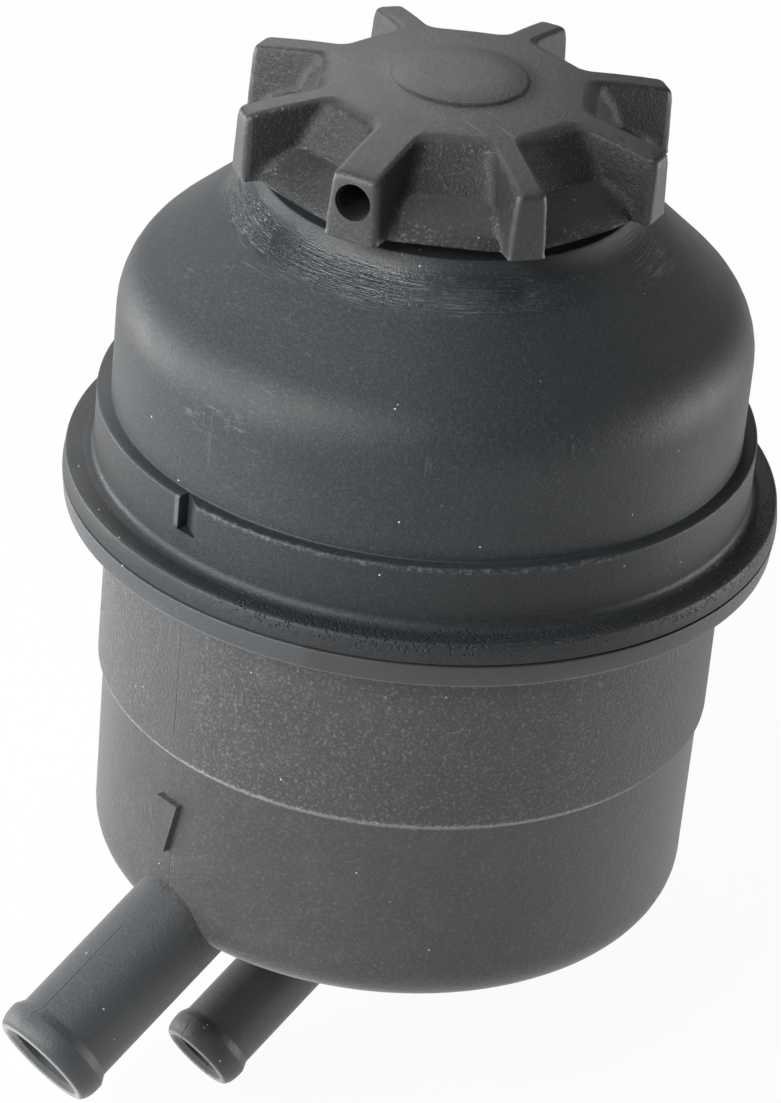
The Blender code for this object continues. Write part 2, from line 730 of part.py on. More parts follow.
def make_spring(name, radius, wire, turns, foot, top, material, parent=None):
    """A compression spring of round wire with closed end coils, standing between foot and top."""
    points_a_turn = 10
    closed = 1.0
    low = foot + wire
    high = top - wire
    rise = high - low - 2 * closed * 2.1 * wire
    total = turns + 2 * closed
    count = int(total * points_a_turn)
    curve = bpy.data.curves.new(name, "CURVE")
    curve.dimensions = "3D"
    curve.bevel_depth = wire
    curve.bevel_resolution = 1
    curve.use_fill_caps = True
    spline = curve.splines.new("POLY")
    spline.points.add(count)
    for index in range(count + 1):
        turn = total * index / count
        angle = 2 * math.pi * turn
        open_turns = min(max(turn - closed, 0.0), turns)
        coiled = (turn - open_turns) * 2.1 * wire
        height = low + coiled + rise * open_turns / turns
        spline.points[index].co = (radius * math.cos(angle), radius * math.sin(angle), height, 1.0)
    curve.materials.append(material)
    obj = bpy.data.objects.new(name, curve)
    bpy.context.collection.objects.link(obj)
    if parent:
        bpy.context.view_layer.update()
        obj.parent = parent
        obj.matrix_parent_inverse = parent.matrix_world.inverted()


def slot_outline():
    """A radial slot with round ends, in the XY plane."""
    half = SLOT_WIDTH / 2
    near = SLOT_INNER + half
    far = SLOT_OUTER - half
    points = []
    for centre, start in ((far, -math.pi / 2), (near, math.pi / 2)):
        for step in range(5):
            angle = start + math.pi * step / 4
            points.append((centre + half * math.cos(angle), half * math.sin(angle)))
    return points


def make_baffle_plate(material):
    """A dished plate whose rim is trapped between the cup and the dome, slotted to let fluid through."""
    top = BAFFLE_RIM + BAFFLE_THICKNESS
    corners = [
        (BAFFLE_EYE, BAFFLE_FOOT + BAFFLE_THICKNESS),
        (BAFFLE_FLAT, BAFFLE_FOOT + BAFFLE_THICKNESS),
        (BAFFLE_SLOPE, top),
        (BAFFLE_RADIUS, top),
        (BAFFLE_RADIUS, BAFFLE_RIM),
        (BAFFLE_SLOPE + BAFFLE_BEND, BAFFLE_RIM),
        (BAFFLE_FLAT + BAFFLE_BEND, BAFFLE_FOOT),
        (BAFFLE_EYE, BAFFLE_FOOT),
    ]
    plate = turned("baffle_plate", corners, SMALL_STEPS, material)
    bm = bmesh.new()
    for index in range(BAFFLE_SLOTS):
        turn = Matrix.Rotation(2 * math.pi * index / BAFFLE_SLOTS, 4, "Z")
        low, high = [
            [bm.verts.new(turn @ Vector((x, y, height))) for x, y in slot_outline()]
            for height in (BAFFLE_FOOT - PAST, BAFFLE_FOOT + BAFFLE_THICKNESS + PAST)
        ]
        count = len(low)
        bm.faces.new(low)
        bm.faces.new(high)
        for i in range(count):
            j = (i + 1) % count
            bm.faces.new((low[i], low[j], high[j], high[i]))
    combine(plate, add_object("baffle_slots", bm), "DIFFERENCE")


def cap_height_at(radius):
    """The height of the cap's gently domed top."""
    return CAP_TOP - CAP_DROP * (radius / CAP_RADIUS) ** 2


def rib_half_outline(width, reach, drum, roundness, fillet, corner):
    """One side of a rib and half of the notch beside it, from the rib's end to the notch's middle.

    The rib runs along +X. drum is how far the notch's floor is from the axis, and roundness turns that
    floor from a flat (0) into an arc about the axis (1).
    """
    half = width / 2
    sector = math.pi / RIB_COUNT
    floor = Vector((math.cos(sector), math.sin(sector)))
    across = Vector((math.sin(sector), -math.cos(sector)))
    root = floor * drum + across * ((floor * drum).y - half) / math.cos(sector)
    bend = math.pi / 2 + sector
    start = root + Vector((1, 0)) * fillet / math.tan(bend / 2)
    end = root - across * fillet / math.tan(bend / 2)
    middle = root + (start + end - 2 * root).normalized() * fillet * (1 / math.sin(bend / 2) - 1)
    points = [Vector((reach, 0)), Vector((reach, half - corner)), Vector((reach - corner, half)), start]
    for point in (middle, end, floor * drum):
        off_middle = sector - math.atan2(point.y, point.x)
        points.append(point * (1 + roundness * (math.cos(off_middle) - 1)))
    return points


def star_outline(width, reach, drum, roundness, fillet=ROOT_FILLET, corner=RIB_CORNER):
    """All eight ribs at one level of the cap, as points round the axis. The first rib holds the vent."""
    points = []
    for rib in range(RIB_COUNT):
        wider = VENT_RIB_WIDTH - RIB_WIDTH if rib == 0 else 0.0
        half = rib_half_outline(width + wider, reach, drum, roundness, fillet, corner)
        mirrored = [Vector((p.x, -p.y)) for p in reversed(half[1:-1])]
        turn = Matrix.Rotation(2 * math.pi * rib / RIB_COUNT + CAP_TURN - math.pi / 2, 2)
        points += [turn @ p for p in mirrored + half]
    return points


def at_height(outline, height):
    return [(point.x, point.y, height) for point in outline]


def cap_lip(outline):
    """The lowest ring of the cap: its skirt arches up between the ribs, which reach further down."""
    ring = []
    for point in outline:
        angle = math.atan2(point.y, point.x) + math.pi / 2 - CAP_TURN
        arch = ARCH_RISE * (0.5 + 0.5 * math.cos(RIB_COUNT * angle))
        on_skirt = point.length < FLARE_RADIUS + RIB_TOP_CORNER
        ring.append((point.x, point.y, SKIRT_FOOT - LIP_HEIGHT - arch if on_skirt else CAP_FOOT))
    return ring


def cap_rings():
    """The rings of the cap's outside, from the edge of its top down to its lip."""
    edge = RIB_CORNER
    drum_width = RIB_WIDTH + RIB_FLARE / 2
    drum_reach = CAP_RADIUS + CAP_DRAFT / 2
    foot_width = RIB_WIDTH + RIB_FLARE
    foot_reach = CAP_RADIUS + CAP_DRAFT
    hollow_radius = (DRUM_RADIUS + FLARE_RADIUS) / 2 - FLARE_HOLLOW
    top = star_outline(
        RIB_WIDTH - 2 * edge, CAP_RADIUS - edge, DRUM_TOP_RADIUS - DRUM_FILLET, 0.0, corner=RIB_TOP_CORNER
    )
    brow = star_outline(RIB_WIDTH, CAP_RADIUS, DRUM_TOP_RADIUS, 0.0)
    skirt = star_outline(foot_width, foot_reach, FLARE_RADIUS, 1.0, FLARE_CORNER)
    return [
        [(point.x, point.y, cap_height_at(point.length)) for point in top],
        [(point.x, point.y, cap_height_at(point.length) - edge) for point in brow],
        at_height(star_outline(drum_width, drum_reach, DRUM_RADIUS, 0.0), DRUM_FOOT),
        at_height(star_outline(drum_width, drum_reach, DRUM_RADIUS, 0.3), DRUM_FOOT - FLARE_START),
        at_height(star_outline(foot_width, foot_reach, hollow_radius, 0.7), DRUM_FOOT - FLARE_BEND),
        at_height(skirt, SKIRT_FOOT),
        cap_lip(skirt),
    ]


def cap_hollow():
    """The bore that takes the thread and the seal plate, with the groove for the retaining ring."""
    groove_foot = PLATE_FOOT - GAP - RING_THICKNESS - GAP
    return [
        (0, CEILING),
        (CAP_BORE, CEILING),
        (CAP_BORE, PLATE_FOOT),
        (RING_OUTER + GAP, PLATE_FOOT),
        (RING_OUTER + GAP, groove_foot),
        (CAP_BORE, groove_foot),
        (CAP_BORE, THREAD_WALL_FOOT - WALL),
        (0, THREAD_WALL_FOOT - WALL),
    ]


def make_cap_shell(material, parent):
    """The star grip: a domed top, eight ribs, flat drum walls, a flared skirt and a hollow underneath."""
    outside = cap_rings()
    directions = [Vector(place[:2]).normalized() for place in outside[2]]
    disc_edge = DISC_RADIUS - DISC_EDGE
    inner_rings = [
        (disc_edge, cap_height_at(DISC_RADIUS) + DISC_RELIEF),
        (DISC_RADIUS, cap_height_at(DISC_RADIUS)),
        (CROWN_RADIUS, cap_height_at(CROWN_RADIUS)),
    ]
    under_rings = [
        (THREAD_WALL_RADIUS + THREAD_WALL_TAPER, SKIRT_FOOT - LIP_HEIGHT),
        (THREAD_WALL_RADIUS, THREAD_WALL_FOOT),
    ]
    rings = [at_height([d * radius for d in directions], height) for radius, height in inner_rings]
    rings += outside
    rings += [at_height([d * radius for d in directions], height) for radius, height in under_rings]
    bm = bmesh.new()
    loops = [[bm.verts.new(place) for place in ring] for ring in rings]
    count = len(directions)
    for upper, lower in zip(loops, loops[1:]):
        for i in range(count):
            j = (i + 1) % count
            bm.faces.new((upper[i], upper[j], lower[j], lower[i]))
    bm.faces.new(loops[0])
    bm.faces.new(loops[-1])
    shell = add_object("cap_shell", bm, material, parent)
    combine(shell, turned("cap_hollow", cap_hollow(), SMALL_STEPS), "DIFFERENCE")
    vent_place = towards_front(VENT_AXIS, turn=CAP_TURN)
    drill(shell, "vent_bore", VENT_RADIUS, CAP_BORE - PAST, CAP_RADIUS + PAST, vent_place)


def make_retaining_ring(material, parent):
    """An open spring ring in the cap's groove that keeps the seal plate in."""
    top = PLATE_FOOT - GAP
    corners = [
        (RING_INNER, top),
        (RING_OUTER, top),
        (RING_OUTER, top - RING_THICKNESS),
        (RING_INNER, top - RING_THICKNESS),
    ]
    turn = Matrix.Rotation(math.pi / 2 + RING_OPENING / 2, 4, "Z")
    sweep = 2 * math.pi - RING_OPENING
    turned("retaining_ring", corners, SMALL_STEPS, material, parent, turn, sweep)


def plate_section():
    """The seal plate: a rim over the neck, a spigot inside it, a web and the dipstick's boss."""
    spigot_inner = SPIGOT_RADIUS - SPIGOT_WALL
    ledge_inner = spigot_inner - FOAM_LEDGE
    return [
        (spigot_inner, PLATE_TOP),
        (PLATE_RADIUS, PLATE_TOP),
        (PLATE_RADIUS, PLATE_FOOT),
        (SPIGOT_RADIUS, PLATE_FOOT),
        (SPIGOT_RADIUS, SPIGOT_FOOT, SPIGOT_EDGE),
        (ledge_inner, SPIGOT_FOOT),
        (ledge_inner, WEB),
        (BOSS_BORE, WEB),
        (BOSS_BORE, BOSS_TOP - WEB_THICKNESS),
        (0, BOSS_TOP - WEB_THICKNESS),
        (0, BOSS_TOP),
        (BOSS_RADIUS, BOSS_TOP),
        (BOSS_RADIUS, WEB_TOP),
        (ledge_inner, WEB_TOP),
        (ledge_inner, FOAM_LEDGE_TOP),
        (spigot_inner, FOAM_LEDGE_TOP),
    ]


def make_seal_plate(material, parent):
    plate = turned("seal_plate", plate_section(), SMALL_STEPS, material, parent)
    bm = bmesh.new()
    ports = [(0.0, 0.0, UMBRELLA_STEM + GAP)]
    ring = (UMBRELLA_STEM + GAP + UMBRELLA_RADIUS) / 2
    for index in range(VENT_PORTS):
        angle = 2 * math.pi * index / VENT_PORTS
        ports.append((ring * math.cos(angle), ring * math.sin(angle), VENT_PORT_RADIUS))
    for x, y, radius in ports:
        place = Matrix.Translation((UMBRELLA_OFFSET + x, y, (WEB + WEB_TOP) / 2))
        bmesh.ops.create_cone(
            bm, cap_ends=True, segments=10, radius1=radius, radius2=radius,
            depth=2 * WEB_THICKNESS, matrix=place,
        )
    combine(plate, add_object("vent_ports", bm), "DIFFERENCE")
    past = BOSS_RADIUS + GAP
    drill(plate, "pin_hole", PIN_RADIUS + GAP, -past, past, towards_front(PIN_HEIGHT), PIN_STEPS)


def make_gasket(material, parent):
    inner = NECK_BORE + GASKET_INSET
    outer = NECK_RADIUS - GASKET_INSET
    top = GASKET_FOOT + GASKET_THICKNESS
    corners = [
        (inner, top),
        (outer, top),
        (outer, GASKET_FOOT),
        (inner, GASKET_FOOT),
    ]
    turned("cap_gasket", corners, SMALL_STEPS, material, parent)


def make_vent_foam(material, parent):
    foot = FOAM_LEDGE_TOP + GAP
    top = foot + FOAM_THICKNESS
    inner = BOSS_RADIUS + GAP
    outer = SPIGOT_RADIUS - SPIGOT_WALL - GAP
    corners = [(inner, top), (outer, top), (outer, foot), (inner, foot)]
    turned("vent_foam", corners, SMALL_STEPS, material, parent)


def make_umbrella_valve(material, parent):
    """A rubber mushroom that covers the vent ports and snaps through the web."""
    seat = WEB_TOP + GAP
    under = WEB - GAP
    corners = [
        (0, seat + UMBRELLA_HEAD),
        (UMBRELLA_STEM, seat + UMBRELLA_HEAD),
        (UMBRELLA_RADIUS, seat + UMBRELLA_HEAD * 0.4),
        (UMBRELLA_RADIUS, seat),
        (UMBRELLA_STEM, seat),
        (UMBRELLA_STEM, under),
        (UMBRELLA_BULB, under),
        (UMBRELLA_STEM * 0.7, under - UMBRELLA_BULB),
        (0, under - UMBRELLA_BULB),
    ]
    place = Matrix.Translation((UMBRELLA_OFFSET, 0, 0))
    turned("umbrella_valve", corners, PIN_STEPS, material, parent, place)


def make_dipstick(material, parent):
    """A flat blade with a tang at the top and two notched level marks near its tip."""
    top = BOSS_TOP - WEB_THICKNESS - GAP
    shoulder = WEB - GAP
    tip = shoulder - DIPSTICK_LENGTH
    half = DIPSTICK_WIDTH / 2
    tang = DIPSTICK_TANG / 2
    side = [(tang, top), (tang, shoulder), (half, shoulder)]
    for mark in reversed(DIPSTICK_MARKS):
        low = tip + mark
        high = low + DIPSTICK_MARK_HEIGHT
        side += [(half, high), (half - DIPSTICK_NOTCH, high), (half - DIPSTICK_NOTCH, low), (half, low)]
    side += [(half, tip + half * 0.5), (half * 0.6, tip)]
    outline = side + [(-x, z) for x, z in reversed(side)]
    upright = Matrix.Translation((0, DIPSTICK_THICKNESS / 2, 0)) @ Matrix.Rotation(math.pi / 2, 4, "X")
    stick = extruded("dipstick", outline, DIPSTICK_THICKNESS, upright, material, parent)
    past = DIPSTICK_THICKNESS
    drill(stick, "tang_hole", PIN_RADIUS + GAP, -past, past, towards_front(PIN_HEIGHT), PIN_STEPS)


def make_dipstick_pin(material, parent):
    length = BOSS_RADIUS - GAP
    place = towards_front(PIN_HEIGHT)
    turned("dipstick_pin", rod(PIN_RADIUS, -length, length), PIN_STEPS, material, parent, place)


def build():
    clear_scene()
    moulded = plastic("glass_filled_polyamide", (0.022, 0.025, 0.028), 0.45)
    cap_plastic = plastic("cap_polyamide", (0.026, 0.028, 0.031), 0.5)
    rubber = plastic("nitrile_rubber", (0.012, 0.012, 0.013), 0.7)
    foam = plastic("vent_foam", (0.10, 0.10, 0.11), 0.95)
    paper = plastic("filter_paper", (0.62, 0.50, 0.30), 0.9)
    white = plastic("natural_polyamide", (0.70, 0.68, 0.60), 0.45)
    steel = plastic("spring_steel", (0.45, 0.45, 0.46), 0.3, 1.0)

    make_lower_housing(moulded)
    make_upper_housing(moulded)
    make_filter_seat_seal(rubber)
    make_filter_caps(white)
    make_filter_core(white)
    make_filter_pleats(paper)
    make_valve_cage(white)
    make_baffle_plate(white)
    make_spring(
        "hold_down_spring", HOLD_SPRING_RADIUS, HOLD_SPRING_WIRE, HOLD_SPRING_TURNS,
        FILTER_TOP + GAP, BAFFLE_FOOT - GAP, steel,
    )

    valve_carrier = carrier("bypass_valve_axis", (0, 0, CAGE_FOOT))
    make_bypass_valve(white, valve_carrier)
    make_spring(
        "valve_spring", VALVE_SPRING_RADIUS, VALVE_SPRING_WIRE, VALVE_SPRING_TURNS,
        CAGE_FOOT + VALVE_THICKNESS + GAP, CAGE_TOP - CAGE_ROOF - GAP, steel,
    )

    plate_carrier = carrier("seal_plate_axis", (0, 0, NECK_TOP))
    make_seal_plate(white, plate_carrier)
    make_gasket(rubber, plate_carrier)
    make_vent_foam(foam, plate_carrier)
    make_umbrella_valve(rubber, plate_carrier)
    make_dipstick(white, plate_carrier)
    make_dipstick_pin(steel, plate_carrier)

    cap_carrier = carrier("cap_axis", (0, 0, NECK_TOP))
    make_cap_shell(cap_plastic, cap_carrier)
    make_retaining_ring(steel, cap_carrier)


build()
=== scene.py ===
"""Looks of the power steering reservoir: finer surfaces over its solids, materials, light and camera."""

import math

import bmesh
import bpy
from mathutils import Matrix, Vector


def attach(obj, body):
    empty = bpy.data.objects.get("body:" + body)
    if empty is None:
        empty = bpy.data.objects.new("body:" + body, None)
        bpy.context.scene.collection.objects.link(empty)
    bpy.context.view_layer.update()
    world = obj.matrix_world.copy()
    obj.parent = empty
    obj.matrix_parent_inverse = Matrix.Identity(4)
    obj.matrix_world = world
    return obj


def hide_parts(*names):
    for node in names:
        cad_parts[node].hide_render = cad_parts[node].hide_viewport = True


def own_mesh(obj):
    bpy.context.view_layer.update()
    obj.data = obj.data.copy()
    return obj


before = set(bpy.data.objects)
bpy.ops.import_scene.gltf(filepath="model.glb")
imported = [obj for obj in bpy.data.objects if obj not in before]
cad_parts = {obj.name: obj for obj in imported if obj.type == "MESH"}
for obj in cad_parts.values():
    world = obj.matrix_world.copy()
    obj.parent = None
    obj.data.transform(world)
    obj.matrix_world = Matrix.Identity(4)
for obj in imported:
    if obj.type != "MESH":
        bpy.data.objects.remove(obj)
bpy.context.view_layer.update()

# Outlines are drawn with one straight piece to this many degrees of a fillet, and small fillets coarser.
FINEST_TURN = math.radians(9)
SMALL_FILLET = 0.0008

# Sizes of the solids, in metres. Heights are along the reservoir's axis, from the middle of its band.
CLEARANCE = 0.0003
WALL = 0.0026
BAND_TOP = 0.01375
CUP_RADIUS = 0.0450
BAND_RADIUS = 0.0459
BASE = -0.04685
FLOOR = BASE + WALL
CUP_CORNER = 0.0071
CUP_DRAFT = 0.0002
FLANGE_DRAFT = 0.0004
FLANGE_RADIUS = 0.0529
WELD = 0.01735
FLANGE_TOP = 0.02075
SKIRT_RADIUS = 0.0485
LEDGE = 0.0304
DOME_RADIUS = 0.0464
SHOULDER = 0.04895
SLOPE = math.radians(42)
COLLAR_RADIUS = 0.0272
COLLAR_TOP = 0.067557
COLLAR_DRAFT = 0.0012
NECK_RADIUS = 0.0182
NECK_BORE = 0.0154
NECK_TOP = 0.075557
CAP_TOP = 0.083107
CAP_FOOT = 0.069707
CAP_RADIUS = 0.0320
CAP_BORE = 0.0189
CEILING = 0.079757
DRUM_FOOT = 0.074357
RING_GROOVE_RADIUS = 0.0199
RING_GROOVE_TOP = 0.077657
RING_GROOVE_FOOT = 0.076357
VENT_AXIS = 0.075707
VENT_BORE = 0.0027
CAP_TURN = math.radians(20.8)
RIBS = 8
DISC_RAISED = 0.00035
THREAD_HEIGHT = 0.00045
THREAD_WIDTH = 0.0011
THREAD_PITCH = 0.003
SPRING_RADIUS = 0.0042
SPRING_WIRE = 0.00035
SPRING_TURNS = 3
SPRING_FOOT = 0.00045
SPRING_TOP = 0.00805

# The wedge-shaped pocket in the skirt. Its ends are in degrees about Z, from +X.
POCKET_LEFT = -89.0
POCKET_RIGHT = -84.6
POCKET_DEPTH = 0.0018
POCKET_HEIGHT = 0.0052

# The recess inside the weld, and the standpipe on the cup's floor
RECESS_RADIUS = 0.0436
RECESS_DEPTH = 0.002
PIPE_SEAT_RADIUS = 0.0095
PIPE_SEAT_HEIGHT = 0.0034
PIPE_RADIUS = 0.0062
PIPE_HEIGHT = 0.0086
PIPE_BORE = 0.0033

# The nipples' axes lie in the plane X = 0 and slope down towards -Y. Distances along them start at X = Y = 0.
NIPPLE_SLOPE = math.radians(31.8)
SUCTION_AXIS = BASE + 0.0006 + CUP_RADIUS * math.tan(NIPPLE_SLOPE)
SUCTION_RADIUS = 0.0080
SUCTION_BORE = 0.0057
SUCTION_MOUTH = CUP_RADIUS / math.cos(NIPPLE_SLOPE) + 0.0260
RETURN_AXIS = BASE - 0.0030
RETURN_RADIUS = 0.0060
RETURN_BORE = 0.0039
RETURN_MOUTH = 0.0424

# Level of the studio's floor, just below the nipples
STUDIO_FLOOR = -0.0790


def rounded(corners):
    """The outline through (x, y, fillet) corners, with each fillet drawn as a smooth arc."""
    points = []
    count = len(corners)
    for index, corner in enumerate(corners):
        here = Vector(corner[:2])
        fillet = corner[2] if len(corner) > 2 else 0.0
        if not fillet:
            points.append(here)
            continue
        back = (Vector(corners[index - 1][:2]) - here).normalized()
        ahead = (Vector(corners[(index + 1) % count][:2]) - here).normalized()
        half = back.angle(ahead) / 2
        start = here + back * fillet / math.tan(half)
        centre = here + (back + ahead).normalized() * fillet / math.sin(half)
        spoke = start - centre
        turn = math.pi - 2 * half
        if back.x * ahead.y - back.y * ahead.x > 0:
            turn = -turn
        finest = FINEST_TURN if fillet > SMALL_FILLET else 3 * FINEST_TURN
        steps = max(2, math.ceil(abs(turn) / finest))
        for step in range(steps + 1):
            angle = turn * step / steps
            cosine, sine = math.cos(angle), math.sin(angle)
            turned_spoke = (spoke.x * cosine - spoke.y * sine, spoke.x * sine + spoke.y * cosine)
            points.append(centre + Vector(turned_spoke))
    return points


def finish_mesh(obj, sharp=32):
    """Shades a piece smooth. Edges that turn by more than sharp degrees stay hard."""
    obj.data.shade_smooth()
    obj.data.set_sharp_from_angle(angle=math.radians(sharp))


def link(name, bm):
    """Makes a piece of this mesh, with its faces turned outwards."""
    bmesh.ops.recalc_face_normals(bm, faces=bm.faces)
    mesh = bpy.data.meshes.new(name)
    bm.to_mesh(mesh)
    bm.free()
    obj = bpy.data.objects.new(name, mesh)
    bpy.context.collection.objects.link(obj)
    finish_mesh(obj)
    return obj


def wall(bm, first, second):
    """Faces between two rings that have the same number of points."""
    count = len(first)
    for i in range(count):
        j = (i + 1) % count
        bm.faces.new((first[i], first[j], second[j], second[i]))


def turned(name, corners, steps, place=None):
    """A closed (radius, height, fillet) outline spun about Z."""
    outline = rounded(corners)
    bm = bmesh.new()
    verts = [bm.verts.new((p.x, 0.0, p.y)) for p in outline]
    edges = [
        bm.edges.new((verts[i], verts[(i + 1) % len(verts)]))
        for i in range(len(verts))
        if outline[i].x > 0 or outline[(i + 1) % len(verts)].x > 0
    ]
    bmesh.ops.spin(
        bm, geom=verts + edges, cent=(0, 0, 0), axis=(0, 0, 1), angle=2 * math.pi,
        steps=steps, use_merge=True,
    )
    bmesh.ops.remove_doubles(bm, verts=bm.verts, dist=1e-7)
    if place is not None:
        bmesh.ops.transform(bm, matrix=place, verts=bm.verts)
    return link(name, bm)


def cut_or_join(obj, other, operation):
    """Applies one Boolean to obj and removes the other piece."""
    modifier = obj.modifiers.new(operation, "BOOLEAN")
    modifier.operation = operation
    modifier.solver = "EXACT"
    modifier.object = other
    graph = bpy.context.evaluated_depsgraph_get()
    result = bpy.data.meshes.new_from_object(obj.evaluated_get(graph))
    obj.modifiers.clear()
    old = obj.data
    obj.data = result
    bpy.data.meshes.remove(old)
    bpy.data.objects.remove(other, do_unlink=True)


def towards_front(height, slope=0.0, turn=0.0, roll=0.0):
    """Places a shape made along +Z so that it runs from the axis to -Y, sloping down and turned about Z."""
    return (
        Matrix.Rotation(turn, 4, "Z")
        @ Matrix.Translation((0, 0, height))
        @ Matrix.Rotation(math.pi / 2 + slope, 4, "X")
        @ Matrix.Rotation(roll, 4, "Z")
    )


def dome():
    """The upper housing: neck, collar, sloping shoulder, ledge, skirt and the upper half of the flange."""
    slope = math.tan(SLOPE)
    drop = WALL / math.cos(SLOPE)
    foot_radius = COLLAR_RADIUS + COLLAR_DRAFT
    foot = SHOULDER + (DOME_RADIUS - foot_radius) * slope
    under = COLLAR_TOP - WALL - CLEARANCE
    inner = DOME_RADIUS - WALL
    piece = turned("dome", [
        (NECK_BORE, NECK_TOP, 0.0003),
        (NECK_RADIUS, NECK_TOP, 0.0005),
        (NECK_RADIUS, COLLAR_TOP, 0.0004),
        (COLLAR_RADIUS, COLLAR_TOP, 0.0003),
        (foot_radius, foot, 0.0105),
        (DOME_RADIUS, SHOULDER, 0.0125),
        (DOME_RADIUS, LEDGE, 0.0003),
        (SKIRT_RADIUS, LEDGE, 0.00045),
        (SKIRT_RADIUS, FLANGE_TOP, 0.0016),
        (FLANGE_RADIUS - FLANGE_DRAFT, FLANGE_TOP, 0.0007),
        (FLANGE_RADIUS, WELD + CLEARANCE, 0.0002),
        (CUP_RADIUS - WALL, WELD + CLEARANCE),
        (CUP_RADIUS - WALL, WELD + CLEARANCE + WALL),
        (SKIRT_RADIUS - WALL, FLANGE_TOP + CLEARANCE),
        (SKIRT_RADIUS - WALL, LEDGE - WALL),
        (inner, LEDGE - CLEARANCE),
        (inner, SHOULDER + WALL * slope - drop, 0.0099),
        (DOME_RADIUS - (under - SHOULDER + drop) / slope, under, 0.001),
        (NECK_BORE, under, 0.0005),
    ], 192)
    cut_or_join(piece, locating_pocket(), "DIFFERENCE")
    finish_mesh(piece)
    return piece


def locating_pocket():
    """The wedge in the skirt: deep at its left end, running out to the right."""
    bm = bmesh.new()
    outside, above = SKIRT_RADIUS + 0.002, LEDGE + 0.001
    plan = [
        (SKIRT_RADIUS - POCKET_DEPTH, POCKET_LEFT),
        (SKIRT_RADIUS, POCKET_RIGHT),
        (outside, POCKET_RIGHT),
        (outside, POCKET_LEFT),
    ]
    corners = [(r * math.cos(math.radians(a)), r * math.sin(math.radians(a))) for r, a in plan]
    low = [bm.verts.new((x, y, LEDGE - POCKET_HEIGHT)) for x, y in corners]
    high = [bm.verts.new((x, y, above)) for x, y in corners]
    bm.faces.new(low)
    bm.faces.new(high)
    wall(bm, low, high)
    return link("pocket", bm)


def nipple(name, radius, start, mouth, bead, bead_length, height):
    """A hose nipple whose bead swells and rounds off again to the mouth."""
    crest, rim = radius + bead, radius - 0.0006
    rounding = []
    for step in range(9):
        angle = math.pi / 2 * step / 8
        back = 0.55 * bead_length * (1 - math.cos(angle))
        rounding.append((rim + (crest - rim) * math.sin(angle), mouth - back))
    return turned(name, [
        (0, mouth),
        *rounding,
        (crest, mouth - 0.72 * bead_length, 0.0009),
        (radius, mouth - bead_length, 0.0009),
        (radius, start, 0.0008),
        (0, start),
    ], 72, towards_front(height, NIPPLE_SLOPE, 0.0, 0.02))


def arrow_head():
    """The raised arrow on the front of the cup, pointing down, its back sunk into the wall."""
    half_width, length, height = 0.0022, 0.0090, 0.0020
    surface = CUP_RADIUS - 0.0011
    place = (
        Matrix.Rotation(math.radians(-90), 4, "Z")
        @ Matrix.Translation((surface, 0, -BAND_TOP - 0.0082))
        @ Matrix.Rotation(math.pi / 2, 4, "Y")
    )
    bm = bmesh.new()
    outline = ((0, -half_width, 0), (length, 0, 0), (0, half_width, 0))
    base = bm.faces.new([bm.verts.new(p) for p in outline])
    raised = bmesh.ops.extrude_face_region(bm, geom=[base])["geom"]
    top = [item for item in raised if isinstance(item, bmesh.types.BMVert)]
    bmesh.ops.translate(bm, verts=top, vec=(0, 0, height))
    bmesh.ops.transform(bm, matrix=place, verts=bm.verts)
    return link("arrow", bm)


def drilled(piece, radius, start, end, place, flare=0.0):
    """A bore whose end opens out by flare, so that the rim is thin and its inside slopes."""
    depth, beyond = 0.0009, 0.0003
    corners = [
        (0, end + beyond),
        (radius + flare * (1 + beyond / depth), end + beyond),
        (radius, end - depth),
        (radius, start),
        (0, start),
    ]
    cut_or_join(piece, turned("drill", corners, 72, place), "DIFFERENCE")


